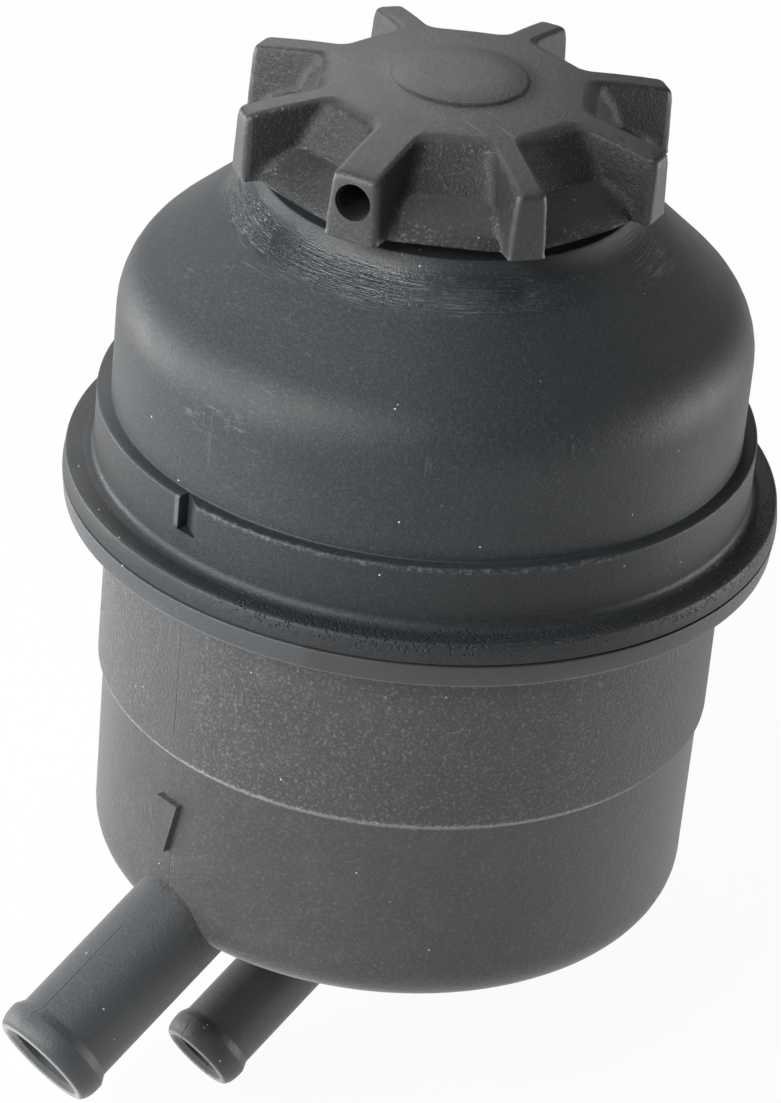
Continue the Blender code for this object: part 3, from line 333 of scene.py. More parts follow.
def cup():
    """The lower housing: flange, clamp band, cup, both nipples, the arrow and the standpipe inside."""
    piece = turned("cup", [
        (0, WELD),
        (FLANGE_RADIUS, WELD, 0.0002),
        (FLANGE_RADIUS - FLANGE_DRAFT, BAND_TOP, 0.0007),
        (BAND_RADIUS, BAND_TOP, 0.0005),
        (BAND_RADIUS, -BAND_TOP, 0.0003),
        (CUP_RADIUS, -BAND_TOP - 0.0009, 0.0003),
        (CUP_RADIUS - CUP_DRAFT, BASE + CUP_CORNER + 0.0009),
        (CUP_RADIUS - CUP_DRAFT, BASE, CUP_CORNER),
        (0, BASE),
    ], 192)
    sine = math.sin(NIPPLE_SLOPE)
    start = (SUCTION_AXIS - BASE - SUCTION_RADIUS) / sine
    suction = nipple("suction", SUCTION_RADIUS, start, SUCTION_MOUTH, 0.0008, 0.0052, SUCTION_AXIS)
    cut_or_join(piece, suction, "UNION")
    start = -RETURN_BORE - WALL
    returning = nipple("return", RETURN_RADIUS, start, RETURN_MOUTH, 0.0006, 0.0048, RETURN_AXIS)
    cut_or_join(piece, returning, "UNION")
    cut_or_join(piece, arrow_head(), "UNION")
    cavity = turned("cavity", [
        (0, WELD + WALL),
        (RECESS_RADIUS, WELD + WALL),
        (RECESS_RADIUS, WELD - RECESS_DEPTH),
        (CUP_RADIUS - WALL, WELD - RECESS_DEPTH),
        (CUP_RADIUS - WALL - CUP_DRAFT, FLOOR, CUP_CORNER - WALL),
        (PIPE_SEAT_RADIUS, FLOOR, 0.0008),
        (PIPE_SEAT_RADIUS, FLOOR + PIPE_SEAT_HEIGHT),
        (PIPE_RADIUS, FLOOR + PIPE_SEAT_HEIGHT),
        (PIPE_RADIUS, FLOOR + PIPE_HEIGHT),
        (0, FLOOR + PIPE_HEIGHT),
    ], 160)
    cut_or_join(piece, cavity, "DIFFERENCE")
    inlet = (SUCTION_AXIS - FLOOR - SUCTION_BORE) / sine
    suction_place = towards_front(SUCTION_AXIS, NIPPLE_SLOPE, 0.0, 0.05)
    return_place = towards_front(RETURN_AXIS, NIPPLE_SLOPE, 0.0, 0.05)
    drilled(piece, SUCTION_BORE, inlet, SUCTION_MOUTH, suction_place, 0.0015)
    drilled(piece, RETURN_BORE, -RETURN_BORE, RETURN_MOUTH, return_place, 0.0013)
    drilled(piece, PIPE_BORE, RETURN_AXIS, FLOOR + 0.0106, Matrix.Rotation(0.03, 4, "Z"))
    finish_mesh(piece)
    return piece


def crown(radius):
    """Height of the cap's slightly domed top."""
    return CAP_TOP - 0.0035 * (radius / CAP_RADIUS) ** 2


def arc(centre, radius, start, end, steps):
    angles = [start + (end - start) * i / steps for i in range(steps + 1)]
    return [centre + radius * Vector((math.cos(angle), math.sin(angle))) for angle in angles]


def half_rib(half, reach, drum, fillet, corner):
    """From the middle of a rib's end, round its corner and root, to the middle of the notch.

    Gives (point, share) pairs. share is 0 on the rib and 1 on the drum wall.
    """
    sector = math.pi / RIBS
    floor = Vector((math.cos(sector), math.sin(sector)))
    across = Vector((math.sin(sector), -math.cos(sector)))
    root = floor * drum + across * ((floor * drum).y - half) / math.cos(sector)
    tangent = fillet * math.tan(sector * 1.5)
    start = root + Vector((1, 0)) * tangent
    end = root - across * tangent
    points = [(Vector((reach, 0)), 0.0), (Vector((reach, (half - corner) * 0.6)), 0.0)]
    points += [(p, 0.0) for p in arc(Vector((reach - corner, half - corner)), corner, 0, math.pi / 2, 4)]
    side_start, side_end = points[-1][0], start
    points += [(side_start.lerp(side_end, t), 0.0) for t in (0.33, 0.66)]
    centre = start + Vector((0, fillet))
    turn = math.pi / 2 - sector
    curve = arc(centre, fillet, -math.pi / 2, -math.pi / 2 - turn, 6)
    points += [(p, i / 6) for i, p in enumerate(curve)]
    points += [(end.lerp(floor * drum, t), 1.0) for t in (0.4, 0.75, 1.0)]
    return points


def star_ring(half, reach, drum, fillet, corner, roundness, vent_extra=0.0):
    """One closed outline of the cap, as (point, share) pairs round the axis."""
    sector = math.pi / RIBS
    ring = []
    for rib in range(RIBS):
        wide = vent_extra / 2 if rib == 0 else 0.0
        side = half_rib(half + wide, reach, drum, fillet, corner)
        bowed = []
        for point, share in side:
            off = sector - math.atan2(point.y, point.x)
            bowed.append((point * (1 + roundness * share * (math.cos(off) - 1)), share))
        both = [(Vector((p.x, -p.y)), s) for p, s in reversed(bowed[1:-1])] + bowed
        turn = Matrix.Rotation(2 * math.pi * rib / RIBS - math.pi / 2 + CAP_TURN, 2)
        ring += [(turn @ p, s) for p, s in both]
    return ring


def cap():
    """The star grip as one grid: crown, rounded edges, ribs, drum walls, coved skirt and underside."""
    edge, big, half, vent = 0.0009, 0.0026, 0.0022, 0.0026
    rings = []
    for step in range(6):
        angle = math.pi / 2 * step / 5
        inset, drop = 1 - math.sin(angle), 1 - math.cos(angle)
        ring = star_ring(
            half - edge * inset, CAP_RADIUS - edge * inset, 0.0201 - big * inset,
            0.0021 + 0.0012 * inset, edge - 0.0004 * inset, 0.0, vent,
        )
        rings.append([
            (p.x, p.y, crown(p.length) - (edge + (big * 0.8 - edge) * share) * drop) for p, share in ring
        ])
    for height, drum, roundness, wide in (
        (DRUM_FOOT + 0.0036, 0.0216, 0.0, 0.00015),
        (DRUM_FOOT + 0.0010, 0.0226, 0.0, 0.0003),
        (DRUM_FOOT + 0.0006, 0.0229, 0.05, 0.0003),
        (DRUM_FOOT + 0.0003, 0.0236, 0.25, 0.00035),
        (DRUM_FOOT - 0.0003, 0.0249, 0.5, 0.0004),
        (DRUM_FOOT - 0.0011, 0.0264, 0.75, 0.00045),
        (DRUM_FOOT - 0.0021, 0.0280, 0.9, 0.0005),
        (DRUM_FOOT - 0.0031, 0.0292, 1.0, 0.0005),
        (DRUM_FOOT - 0.0037, 0.0297, 1.0, 0.0005),
    ):
        share_down = (CAP_TOP - height) / (CAP_TOP - CAP_FOOT)
        fillet = 0.0021 if drum < 0.029 else 0.0009
        ring = star_ring(
            half + wide, CAP_RADIUS + 0.0002 * share_down, drum, fillet, edge, roundness, vent,
        )
        rings.append([(p.x, p.y, height) for p, share in ring])
    for sink, inward in ((0.0, 0.0), (0.0003, 0.0003), (0.0003, 0.0012)):
        ring = star_ring(
            half + 0.0006 - inward, CAP_RADIUS + 0.0002 - inward, 0.0298 - inward,
            0.0009, edge - 0.0002, 1.0, vent,
        )
        row = []
        for p, share in ring:
            angle = math.atan2(p.y, p.x) + math.pi / 2 - CAP_TURN
            arch = 0.5 - 0.5 * math.cos(RIBS * angle)
            notch = DRUM_FOOT - 0.0039 - (1 - arch) * 0.0006
            lip = notch * share + CAP_FOOT * (1 - share)
            row.append((p.x, p.y, max(lip - sink + 0.0003, CAP_FOOT)))
        rings.append(row)
    directions = [Vector(point[:2]).normalized() for point in rings[6]]
    top = []
    for radius, raised in (
        (0.0004, DISC_RAISED), (0.0050, DISC_RAISED), (0.0094, DISC_RAISED), (0.00975, 0.00026),
        (0.0099, 0.00005), (0.0101, 0.0), (0.0125, 0.0), (0.0150, 0.0),
    ):
        level = crown(radius) + raised
        top.append([(d.x * radius, d.y * radius, level) for d in directions])
    for share in (0.25, 0.5, 0.75, 0.92):
        row = []
        for direction, (x, y, z) in zip(directions, rings[0]):
            point = (direction * 0.0150).lerp(Vector((x, y)), share)
            row.append((point.x, point.y, crown(point.length)))
        top.append(row)
    under = []
    for radius, height in ((0.0232, 0.0706), (0.0220, 0.0692), (0.0217, 0.068457), (0.0190, 0.068257)):
        under.append([(d.x * radius, d.y * radius, height) for d in directions])
    bm = bmesh.new()
    loops = [[bm.verts.new(co) for co in ring] for ring in top + rings + under]
    for upper, lower in zip(loops, loops[1:]):
        wall(bm, upper, lower)
    bm.faces.new(loops[0])
    bm.faces.new(loops[-1])
    piece = link("cap", bm)
    hollow = turned("hollow", [
        (0, CEILING),
        (CAP_BORE, CEILING, 0.0006),
        (CAP_BORE, RING_GROOVE_TOP),
        (RING_GROOVE_RADIUS, RING_GROOVE_TOP),
        (RING_GROOVE_RADIUS, RING_GROOVE_FOOT),
        (CAP_BORE, RING_GROOVE_FOOT),
        (CAP_BORE, 0.0660),
        (0, 0.0660),
    ], 144, Matrix.Rotation(0.01, 4, "Z"))
    cut_or_join(piece, hollow, "DIFFERENCE")
    drilled(piece, VENT_BORE, 0.0159, 0.0350, towards_front(VENT_AXIS, 0.0, CAP_TURN, 0.02))
    finish_mesh(piece, 38)
    return piece


def coil(name, radius, wire, turns, foot, top):
    """A compression spring of round wire with one closed coil at each end."""
    steps, sides = 24, 8
    total = (turns + 2) * steps
    rise = top - foot - 6.2 * wire
    bm = bmesh.new()
    rings = []
    for index in range(total + 1):
        turn = index / steps
        open_turns = min(max(turn - 1, 0.0), turns)
        level = foot + wire + (turn - open_turns) * 2.1 * wire + rise * open_turns / turns
        around = Matrix.Rotation(2 * math.pi * turn, 4, "Z")
        ring = []
        for side in range(sides):
            angle = 2 * math.pi * side / sides
            point = Vector((radius + wire * math.cos(angle), 0, level + wire * math.sin(angle)))
            ring.append(bm.verts.new(around @ point))
        rings.append(ring)
    for lower, upper in zip(rings, rings[1:]):
        wall(bm, lower, upper)
    bm.faces.new(rings[0])
    bm.faces.new(rings[-1])
    return link(name, bm)


def helix_ridge(name, radius, height, width, pitch, foot, turns, outward, phase):
    """A thread ridge wound round a cylinder, sunk slightly into it and running out at both ends."""
    steps = 60
    total = int(turns * steps)
    bm = bmesh.new()
    previous = None
    for index in range(total + 1):
        turn = index / steps
        fade = min(1.0, index / 12, (total - index) / 12)
        angle = 2 * math.pi * turn + phase
        level = foot + pitch * turn
        tip = radius + outward * height * max(fade, 0.02)
        root = radius - outward * 0.0001
        section = [
            (root, level - width / 2),
            (tip, level - width / 6),
            (tip, level + width / 6),
            (root, level + width / 2),
        ]
        ring = [bm.verts.new((r * math.cos(angle), r * math.sin(angle), z)) for r, z in section]
        if previous:
            wall(bm, previous, ring)
        else:
            bm.faces.new(ring)
        previous = ring
    bm.faces.new(previous)
    return link(name, bm)


class Graph:
    """A material's node tree, with short calls for the nodes used here."""

    def __init__(self, name):
        self.material = bpy.data.materials.new(name)
        self.material.use_nodes = True
        self.tree = self.material.node_tree
        self.shader = self.tree.nodes["Principled BSDF"]
        self.place = self.node("ShaderNodeTexCoord").outputs["Object"]
        axes = self.node("ShaderNodeSeparateXYZ")
        self.join(self.place, axes.inputs[0])
        self.x, self.y, self.z = axes.outputs

    def node(self, kind, **settings):
        made = self.tree.nodes.new(kind)
        for key, value in settings.items():
            setattr(made, key, value)
        return made

    def join(self, source, socket):
        if isinstance(source, (int, float)):
            socket.default_value = source
        elif isinstance(source, tuple):
            socket.default_value = (*source, 1.0) if len(source) == 3 and socket.type == "RGBA" else source
        else:
            self.tree.links.new(source, socket)

    def math(self, operation, a, b=0.0):
        made = self.node("ShaderNodeMath", operation=operation)
        for value, socket in zip((a, b), made.inputs):
            self.join(value, socket)
        return made.outputs[0]

    def span(self, value, low, high, to_low=0.0, to_high=1.0):
        """A smooth step from to_low below low, to to_high above high."""
        made = self.node("ShaderNodeMapRange", interpolation_type="SMOOTHSTEP")
        for source, socket in zip((value, low, high, to_low, to_high), made.inputs):
            self.join(source, socket)
        return made.outputs[0]

    def stretched(self, scale, turn=(0, 0, 0)):
        made = self.node("ShaderNodeMapping")
        made.inputs["Scale"].default_value = scale
        made.inputs["Rotation"].default_value = turn
        self.join(self.place, made.inputs[0])
        return made.outputs[0]

    def noise(self, scale, detail=3.0, roughness=0.5, where=None):
        made = self.node("ShaderNodeTexNoise")
        self.join(where or self.place, made.inputs["Vector"])
        made.inputs["Scale"].default_value = scale
        made.inputs["Detail"].default_value = detail
        made.inputs["Roughness"].default_value = roughness
        return made.outputs["Fac"]

    def specks(self, scale, size, keep):
        """Round dots at scattered places. keep is the share of cells that hold one."""
        made = self.node("ShaderNodeTexVoronoi")
        self.join(self.place, made.inputs["Vector"])
        made.inputs["Scale"].default_value = scale
        dot = self.span(made.outputs["Distance"], size * 0.5, size, 1.0, 0.0)
        colour = self.node("ShaderNodeSeparateColor")
        self.join(made.outputs["Color"], colour.inputs[0])
        chosen = self.math("LESS_THAN", colour.outputs[0], keep)
        return self.math("MULTIPLY", dot, chosen)

    def mix(self, share, low, high):
        made = self.node("ShaderNodeMix", data_type="RGBA")
        self.join(share, made.inputs[0])
        self.join(low, made.inputs[6])
        self.join(high, made.inputs[7])
        return made.outputs[2]

    def all_of(self, *masks):
        result = masks[0]
        for mask in masks[1:]:
            result = self.math("MULTIPLY", result, mask)
        return result

    def any_of(self, *masks):
        result = masks[0]
        for mask in masks[1:]:
            result = self.math("MAXIMUM", result, mask)
        return result

    def paint(self, tone, mask, share, colour):
        """Lays a share of this colour over the tone where the mask is 1."""
        return self.mix(self.math("MULTIPLY", mask, share), tone, colour)

    def bump(self, height, distance):
        made = self.node("ShaderNodeBump")
        made.inputs["Strength"].default_value = 1.0
        made.inputs["Distance"].default_value = distance
        self.join(height, made.inputs["Height"])
        return made.outputs[0]

    def radius(self):
        across, deep = self.math("MULTIPLY", self.x, self.x), self.math("MULTIPLY", self.y, self.y)
        return self.math("SQRT", self.math("ADD", across, deep))

    def azimuth(self):
        """Degrees about Z, from +X towards +Y."""
        return self.math("MULTIPLY", self.math("ARCTAN2", self.y, self.x), 180 / math.pi)

    def along_nipple(self, height):
        """Distance down a nipple's axis from where it crosses the Z axis at this height."""
        level = self.math("MULTIPLY", self.math("SUBTRACT", self.z, height), -math.sin(NIPPLE_SLOPE))
        return self.math("ADD", level, self.math("MULTIPLY", self.y, -math.cos(NIPPLE_SLOPE)))

    def along_ring(self, azimuth, radius):
        """Coordinates that change slowly round the axis, for streaks that run round it."""
        made = self.node("ShaderNodeCombineXYZ")
        for source, socket in zip((self.math("MULTIPLY", azimuth, 0.00003), radius, self.z), made.inputs):
            self.join(source, socket)
        return made.outputs[0]

    def near(self, value, centre, reach, soft):
        """1 within reach of centre, 0 beyond reach + soft."""
        away = self.math("ABSOLUTE", self.math("SUBTRACT", value, centre))
        return self.span(away, reach, reach + soft, 1.0, 0.0)


def worn_plastic(name):
    """Glass-filled plastic: clouding, mottling, mould grain, thin scratches and bright specks of dust."""
    g = Graph(name)
    g.cloud = g.noise(42, 4, 0.6)
    g.mottle = g.noise(230, 4, 0.7)
    g.fine = g.noise(1300, 2, 0.6)
    g.coarse = g.noise(1900, 3, 0.75)
    g.grain = g.noise(3600, 2, 0.7)
    steep = g.noise(1900, 2, 0.5, g.stretched((1, 1, 0.06), (0.9, 1.1, 0.4)))
    level = g.noise(1700, 2, 0.5, g.stretched((0.06, 1, 1), (0.2, 0.9, 0.8)))
    lines = g.any_of(g.span(steep, 0.64, 0.72), g.span(level, 0.63, 0.71))
    g.scratches = g.math("MULTIPLY", lines, g.span(g.noise(70, 3), 0.54, 0.66))
    g.dust = g.any_of(g.specks(520, 0.09, 0.06), g.specks(170, 0.034, 0.06))
    return g


def finish_plastic(g, tone, rough, relief, haze):
    """haze is how strongly fine dust on the surface brightens it towards its outline."""
    tone = g.paint(tone, g.span(g.grain, 0.42, 0.74), 0.10, (0.17, 0.172, 0.175))
    tone = g.paint(tone, g.dust, 0.8, (0.62, 0.62, 0.60))
    g.join(tone, g.shader.inputs["Base Color"])
    gloss = g.math("ADD", rough, g.math("MULTIPLY", g.math("SUBTRACT", g.mottle, 0.5), 0.14))
    g.join(g.math("ADD", gloss, g.math("MULTIPLY", g.scratches, -0.12)), g.shader.inputs["Roughness"])
    g.shader.inputs["Sheen Weight"].default_value = haze
    g.shader.inputs["Sheen Roughness"].default_value = 0.35
    surface = g.math("ADD", g.math("MULTIPLY", g.fine, 0.35), g.math("MULTIPLY", g.grain, 0.40))
    surface = g.math("ADD", surface, relief)
    surface = g.math("SUBTRACT", surface, g.math("MULTIPLY", g.scratches, 0.15))
    g.join(g.bump(surface, 0.00012), g.shader.inputs["Normal"])
    return g.material


def dome_material():
    """Dark slate plastic: brushed gloss round the collar's foot, with pale streaks there that are partly wear
    and partly a painted highlight, a scuffed ledge and pits in the flange.
    """
    g = worn_plastic("dome_worn_plastic")
    r, azimuth = g.radius(), g.azimuth()
    ring = g.along_ring(azimuth, r)
    front = g.near(azimuth, -72, 52, 34)
    hollow = g.all_of(g.near(r, 0.0304, 0.0010, 0.0022), g.span(g.z, 0.0575, 0.0600), front)
    scuff = g.all_of(
        g.near(r, 0.0305, 0.0022, 0.0025), g.near(azimuth, 25, 6, 7), g.span(g.z, 0.0590, 0.0615),
    )
    streaks = g.noise(3600, 3, 0.65, ring)
    # Mask of the pale streaks: in the front of the hollow they are a painted highlight, and on the scuff they
    # are wear.
    wear_and_highlight = g.any_of(g.all_of(hollow, g.span(g.noise(150, 3), 0.48, 0.62)), scuff)
    streaks_wear_and_highlight = g.all_of(wear_and_highlight, g.span(streaks, 0.50, 0.66))
    flange = g.all_of(g.span(r, 0.0490, 0.0494), g.near(g.z, 0.0207, 0.0012, 0.0004))
    pits = g.all_of(g.specks(1700, 0.46, 0.6), flange, g.near(azimuth, -16, 48, 16))
    ledge = g.all_of(g.near(r, 0.0484, 0.0003, 0.0003), g.near(g.z, 0.0303, 0.0004, 0.0004))
    fringe = g.all_of(ledge, g.near(azimuth, -48, 36, 8), g.span(g.noise(1500, 4, 0.7), 0.46, 0.66))
    pocket_lip = g.all_of(
        g.near(azimuth, -89.4, 0.45, 0.2), g.near(g.z, 0.0285, 0.0026, 0.0006), g.span(r, 0.0480, 0.0484),
    )
    tone = g.mix(g.cloud, (0.0140, 0.0172, 0.0198), (0.0222, 0.0264, 0.0298))
    tone = g.paint(tone, g.span(g.coarse, 0.48, 0.74), 0.14, (0.16, 0.165, 0.17))
    tone = g.paint(tone, g.scratches, 0.06, (0.40, 0.41, 0.42))
    tone = g.paint(tone, g.span(g.z, LEDGE - 0.0006, LEDGE, 1.0, 0.0), 0.42, (0.0060, 0.0078, 0.0094))
    # Pale streaks round the collar's foot: partly wear, partly a painted highlight along the front of the
    # fillet.
    tone = g.paint(tone, streaks_wear_and_highlight, 0.17, (0.42, 0.43, 0.44))
    tone = g.paint(tone, g.any_of(fringe, pocket_lip), 0.17, (0.36, 0.37, 0.38))
    rubbing = g.noise(900, 4, 0.8, g.stretched((0.3, 0.3, 1), (0.5, 0.2, 0.3)))
    rubbed = g.all_of(
        g.near(azimuth, -84, 5, 7), g.near(g.z, 0.0435, 0.0012, 0.0030), g.span(rubbing, 0.53, 0.68),
    )
    tone = g.paint(tone, rubbed, 0.16, (0.36, 0.37, 0.38))
    rough = g.math("ADD", 0.51, g.math("MULTIPLY", hollow, -0.36))
    mirror = g.math("ADD", 0.36, g.math("MULTIPLY", hollow, 0.30))
    g.join(mirror, g.shader.inputs["Specular IOR Level"])
    relief = g.math("SUBTRACT", g.all_of(streaks, hollow, 0.8), g.math("MULTIPLY", pits, 3.0))
    return finish_plastic(g, tone, rough, relief, 0.03)


def cup_material():
    """Grey plastic with pale flecks on the band and cup, a worn step, mould seams and bluer nipples."""
    g = worn_plastic("cup_worn_plastic")
    r, azimuth = g.radius(), g.azimuth()
    side = g.span(r, 0.0435, 0.0440)
    band = g.all_of(side, g.near(g.z, 0.0, BAND_TOP - 0.0002, 0.0002))
    lower = g.span(g.z, -BAND_TOP - 0.0008, -BAND_TOP, 1.0, 0.0)
    step = g.all_of(g.near(g.z, -BAND_TOP - 0.0003, 0.0004, 0.0005), g.span(g.coarse, 0.36, 0.60))
    suction = g.along_nipple(SUCTION_AXIS)
    return_end = g.near(g.along_nipple(RETURN_AXIS), RETURN_MOUTH, 0.0001, 0.0002)
    mouth = g.any_of(
        g.span(suction, SUCTION_MOUTH - 0.0003, SUCTION_MOUTH - 0.0001),
        g.all_of(return_end, g.span(g.z, -0.0655, -0.0650, 1.0, 0.0)),
    )
    on_cup = g.all_of(side, g.near(azimuth, -89.2, 0.06, 0.10))
    seam = g.any_of(
        g.all_of(on_cup, g.near(g.z, 0.0010, 0.0105, 0.0015)),
        g.all_of(on_cup, g.near(g.z, -0.0345, 0.0025, 0.0010)),
        g.all_of(g.near(g.x, -0.0003, 0.00006, 0.00010), g.near(suction, 0.0660, 0.0085, 0.0020)),
    )
    fleck_share = g.any_of(g.math("MULTIPLY", band, 0.62), g.math("MULTIPLY", lower, 0.30))
    flecks = g.all_of(g.span(g.coarse, 0.50, 0.74), fleck_share)
    clouds = g.all_of(g.span(g.mottle, 0.42, 0.72), g.any_of(band, lower), 0.11)
    tone = g.mix(g.cloud, (0.0264, 0.0268, 0.0276), (0.0388, 0.0390, 0.0396))
    tone = g.mix(clouds, tone, (0.115, 0.113, 0.110))
    tone = g.mix(flecks, tone, (0.20, 0.198, 0.193))
    tone = g.paint(tone, step, 0.32, (0.40, 0.40, 0.39))
    # The nipples' colour. It takes in the front of the band and flange too, which reach past the same Y.
    before_cup = g.span(g.y, -0.0462, -0.0454, 1.0, 0.0)
    under_cup = g.span(g.z, BASE - 0.0012, BASE - 0.0004, 1.0, 0.0)
    bluer = g.mix(g.cloud, (0.0325, 0.0365, 0.0402), (0.0475, 0.0522, 0.0562))
    tone = g.mix(g.any_of(before_cup, under_cup), tone, bluer)
    tone = g.paint(tone, mouth, 0.5, (0.40, 0.40, 0.39))
    tone = g.paint(tone, seam, 0.7, (0.008, 0.008, 0.009))
    tone = g.paint(tone, g.scratches, 0.06, (0.36, 0.36, 0.36))
    rough = g.math("ADD", 0.50, g.math("MULTIPLY", band, 0.08))
    coarseness = g.math("ADD", g.math("MULTIPLY", band, 1.9), g.math("MULTIPLY", lower, 0.6))
    relief = g.math("SUBTRACT", g.math("MULTIPLY", g.coarse, coarseness), g.math("MULTIPLY", seam, 0.8))
    return finish_plastic(g, tone, rough, relief, 0.32)


def cap_material():
    """Dark plastic, rougher between the ribs, with painted shade darkening the walls between them, and pale
    worn edges.
    """
    g = worn_plastic("cap_worn_plastic")
    facing = g.node("ShaderNodeSeparateXYZ")
    g.join(g.node("ShaderNodeTexCoord").outputs["Normal"], facing.inputs[0])
    level = g.math("ABSOLUTE", facing.outputs[2])
    side = g.span(level, 0.60, 0.88, 1.0, 0.0)
    inner = g.all_of(side, g.span(g.radius(), 0.0310, 0.0316, 1.0, 0.0))
    foot = g.all_of(g.span(g.z, 0.0715, 0.0745, 1.0, 0.0), 0.8)
    edge = g.all_of(g.span(level, 0.45, 0.65), g.span(level, 0.75, 0.95, 1.0, 0.0))
    dots = g.span(g.coarse, 0.52, 0.72)
    tone = g.mix(g.cloud, (0.0170, 0.0182, 0.0195), (0.0260, 0.0275, 0.0290))
    tone = g.paint(tone, g.span(g.coarse, 0.46, 0.74), 0.10, (0.17, 0.175, 0.18))
    # Painted shade: the walls between the ribs are darkened where shade falls in the notches.
    tone = g.paint(tone, inner, 0.75, (0.0060, 0.0068, 0.0076))
    tone = g.paint(tone, g.all_of(g.any_of(inner, foot), dots), 0.17, (0.20, 0.205, 0.21))
    worn_edge = g.all_of(edge, g.span(g.mottle, 0.45, 0.62), dots)
    tone = g.paint(tone, worn_edge, 0.55, (0.26, 0.265, 0.27))
    tone = g.paint(tone, g.scratches, 0.06, (0.40, 0.41, 0.42))
    rough = g.math("ADD", 0.46, g.math("MULTIPLY", inner, 0.08))
    relief = g.math("ADD", g.all_of(g.coarse, inner, 1.4), g.math("MULTIPLY", g.mottle, 0.5))
    return finish_plastic(g, tone, rough, relief, 0.03)


def plain_material(name, colour, rough, grain_scale, grain_depth, variation, metallic=0.0):
    """An even material with soft clouding and a fine grain, for the pieces inside."""
    g = Graph(name)
    cloud = g.noise(60, 3)
    grain = g.noise(grain_scale, 3, 0.6)
    darker = tuple(c * (1 - variation) for c in colour)
    lighter = tuple(min(1.0, c * (1 + variation)) for c in colour)
    g.join(g.mix(cloud, darker, lighter), g.shader.inputs["Base Color"])
    unevenness = g.math("MULTIPLY", g.math("SUBTRACT", grain, 0.5), 0.16)
    g.join(g.math("ADD", rough, unevenness), g.shader.inputs["Roughness"])
    g.shader.inputs["Metallic"].default_value = metallic
    g.join(g.bump(grain, grain_depth), g.shader.inputs["Normal"])
    return g.material


def wear(obj, material):
    """Gives a piece this one material."""
    obj.data.materials.clear()
    obj.data.materials.append(material)


def dress_nodes():
    """Materials for the inner pieces, which keep the shapes of their solids."""
    natural = plain_material("natural_polyamide", (0.70, 0.68, 0.60), 0.42, 1200, 0.00004, 0.05)
    steel = plain_material("spring_steel", (0.46, 0.46, 0.47), 0.30, 2400, 0.00002, 0.12, 1.0)
    rubber = plain_material("nitrile_rubber", (0.014, 0.014, 0.015), 0.62, 1500, 0.00004, 0.2)
    foam = plain_material("open_cell_foam", (0.10, 0.10, 0.11), 0.92, 1600, 0.0004, 0.25)
    paper = plain_material("filter_paper", (0.62, 0.50, 0.30), 0.85, 1400, 0.00010, 0.10)
    finishes = {
        "filter_seat_seal": rubber, "cap_gasket": rubber, "umbrella_valve": rubber,
        "vent_foam": foam, "filter_pleats": paper,
        "valve_spring": steel, "hold_down_spring": steel,
        "dipstick_pin": steel, "retaining_ring": steel,
    }
    for name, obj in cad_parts.items():
        if name in ("upper_housing", "lower_housing", "cap_shell"):
            continue
        for slot in obj.material_slots:
            slot.material = finishes.get(name, natural)


def pale_floor():
    """A floor that looks nearly white to the camera and still takes the soft shadow."""
    bm = bmesh.new()
    bmesh.ops.create_grid(bm, x_segments=1, y_segments=1, size=3.0)
    bmesh.ops.translate(bm, verts=bm.verts, vec=(0, 0, STUDIO_FLOOR))
    floor = link("studio_floor", bm)
    material = bpy.data.materials.new("pale_floor")
    material.use_nodes = True
    tree = material.node_tree
    tree.nodes.clear()
    diffuse = tree.nodes.new("ShaderNodeBsdfDiffuse")
    diffuse.inputs["Color"].default_value = (0.82, 0.82, 0.82, 1)
    glow = tree.nodes.new("ShaderNodeEmission")
    path = tree.nodes.new("ShaderNodeLightPath")
    bright = tree.nodes.new("ShaderNodeMapRange")
    bright.inputs["To Min"].default_value = 1.0
    bright.inputs["To Max"].default_value = 0.95
    tree.links.new(path.outputs["Is Glossy Ray"], bright.inputs[0])
    tree.links.new(bright.outputs[0], glow.inputs["Strength"])
    seen = tree.nodes.new("ShaderNodeMath")
    seen.operation = "MAXIMUM"
    tree.links.new(path.outputs["Is Camera Ray"], seen.inputs[0])
    tree.links.new(path.outputs["Is Glossy Ray"], seen.inputs[1])
    share = tree.nodes.new("ShaderNodeMath")
    share.operation = "MULTIPLY"
    share.inputs[1].default_value = 0.93
    tree.links.new(seen.outputs[0], share.inputs[0])
    mix = tree.nodes.new("ShaderNodeMixShader")
    tree.links.new(share.outputs[0], mix.inputs[0])
    tree.links.new(diffuse.outputs[0], mix.inputs[1])
    tree.links.new(glow.outputs[0], mix.inputs[2])
    out = tree.nodes.new("ShaderNodeOutputMaterial")
    tree.links.new(mix.outputs[0], out.inputs[0])
    wear(floor, material)


def white_world():
    """White behind the object for the camera, and a weak grey for the light that it gives."""
    world = bpy.data.worlds.new("studio_world")
    bpy.context.scene.world = world
    world.use_nodes = True
    nodes, links = world.node_tree.nodes, world.node_tree.links
    path = nodes.new("ShaderNodeLightPath")
    white = nodes["Background"]
    white.inputs["Color"].default_value = (1, 1, 1, 1)
    strength = nodes.new("ShaderNodeMapRange")
    strength.inputs["To Min"].default_value = 0.09
    strength.inputs["To Max"].default_value = 1.0
    links.new(path.outputs["Is Camera Ray"], strength.inputs[0])
    links.new(strength.outputs[0], white.inputs["Strength"])


def soft_light(name, place, size, power):
    """A rectangular light turned towards the middle of the object."""
    data = bpy.data.lights.new(name, "AREA")
    data.shape = "RECTANGLE"
    data.size, data.size_y = size
    data.energy = power
    lamp = bpy.data.objects.new(name, data)
    bpy.context.collection.objects.link(lamp)
    lamp.location = place
    lamp.rotation_euler = (Vector((0, 0, 0.01)) - Vector(place)).to_track_quat("-Z", "Y").to_euler()


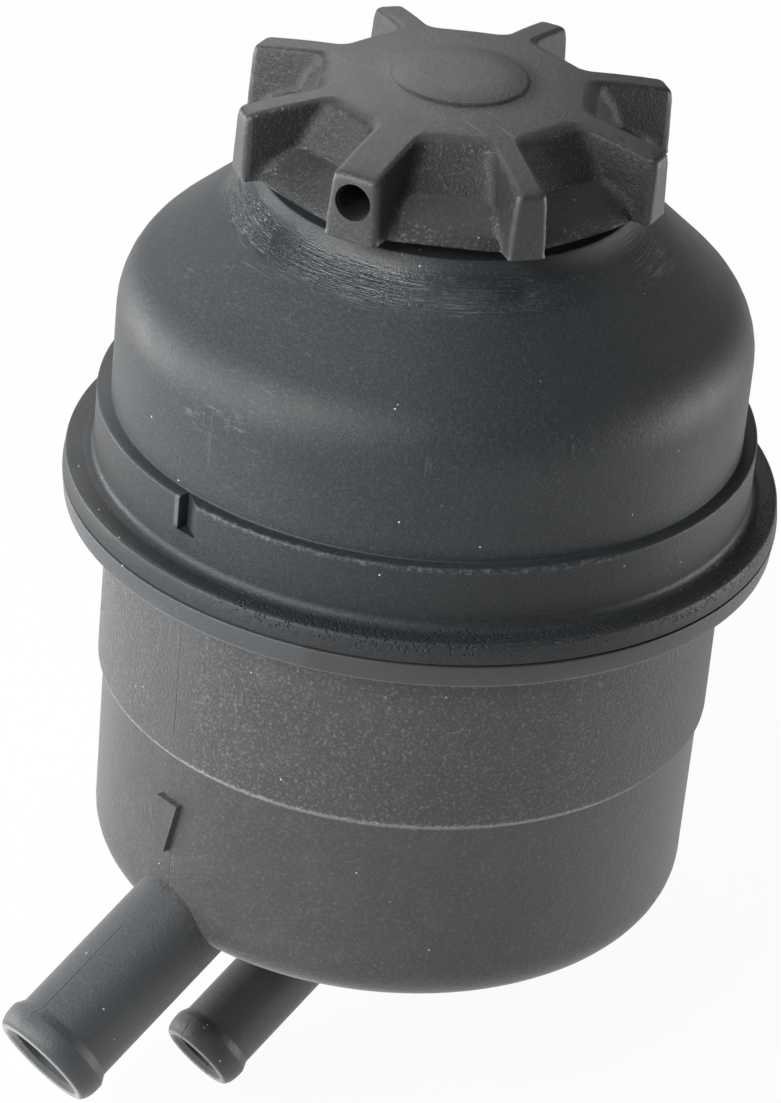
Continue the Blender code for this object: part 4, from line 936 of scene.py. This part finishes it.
def lights():
    """A large light from the left, two low ones for the rims, and weaker ones behind, above and in front."""
    right = Vector((0.6707, 0.7371, 0.0))
    back = Vector((-0.7070, 0.7077, 0.0))
    up = Vector((0.0, 0.0, 1.0))
    soft_light("left_light", -0.70 * right - 0.32 * back + 0.24 * up, (0.60, 0.60), 9.2)
    soft_light("left_rim", -0.70 * right + 0.30 * back - 0.02 * up, (0.35, 0.16), 3.9)
    soft_light("right_rim", 0.75 * right + 0.12 * back - 0.02 * up, (0.35, 0.16), 3.5)
    soft_light("back_light", 0.85 * back - 0.35 * right + 0.62 * up, (0.9, 0.5), 5.0)
    soft_light("top_light", 0.80 * up, (0.6, 0.6), 1.5)
    soft_light("front_light", -0.62 * back - 0.38 * right + 0.50 * up, (0.28, 0.28), 3.5)


def camera():
    """The photograph's view: eye, directions and lens from a fit to the object's rings and outline."""
    data = bpy.data.cameras.new("camera")
    data.sensor_fit = "VERTICAL"
    data.sensor_height = 24
    data.lens = 108.49
    data.clip_start = 0.05
    data.clip_end = 20
    eye = bpy.data.objects.new("camera", data)
    bpy.context.collection.objects.link(eye)
    right = Vector((0.670734, 0.737086, 0.083500))
    up = Vector((-0.417552, 0.281958, 0.863860))
    forward = Vector((-0.613177, 0.614254, -0.496800))
    turn = Matrix((right, up, -forward)).transposed().to_4x4()
    eye.matrix_world = Matrix.Translation((0.452978, -0.458521, 0.37377)) @ turn
    bpy.context.scene.camera = eye


dome_piece = dome()
wear(dome_piece, dome_material())
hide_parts("upper_housing")
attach(dome_piece, "reservoir")

cup_piece = cup()
wear(cup_piece, cup_material())
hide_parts("lower_housing")
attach(cup_piece, "reservoir")

cap_piece = cap()
cap_finish = cap_material()
wear(cap_piece, cap_finish)
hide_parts("cap_shell")
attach(cap_piece, "cap")

neck_thread = helix_ridge(
    "neck_thread", NECK_RADIUS, THREAD_HEIGHT, THREAD_WIDTH, THREAD_PITCH,
    COLLAR_TOP + 0.0012, turns=1.9, outward=1, phase=0.0,
)
wear(neck_thread, dome_piece.data.materials[0])
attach(neck_thread, "reservoir")
cap_thread = helix_ridge(
    "cap_thread", CAP_BORE, THREAD_HEIGHT, THREAD_WIDTH, THREAD_PITCH,
    0.06925, turns=1.7, outward=-1, phase=math.pi * 0.98,
)
wear(cap_thread, cap_finish)
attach(cap_thread, "cap")

dress_nodes()
valve_coil = coil("valve_coil", SPRING_RADIUS, SPRING_WIRE, SPRING_TURNS, SPRING_FOOT, SPRING_TOP)
wear(valve_coil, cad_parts["valve_spring"].material_slots[0].material)
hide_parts("valve_spring")
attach(valve_coil, "reservoir")
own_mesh(valve_coil)
pale_floor()
white_world()
lights()
camera()
bpy.context.scene.view_settings.view_transform = "Standard"
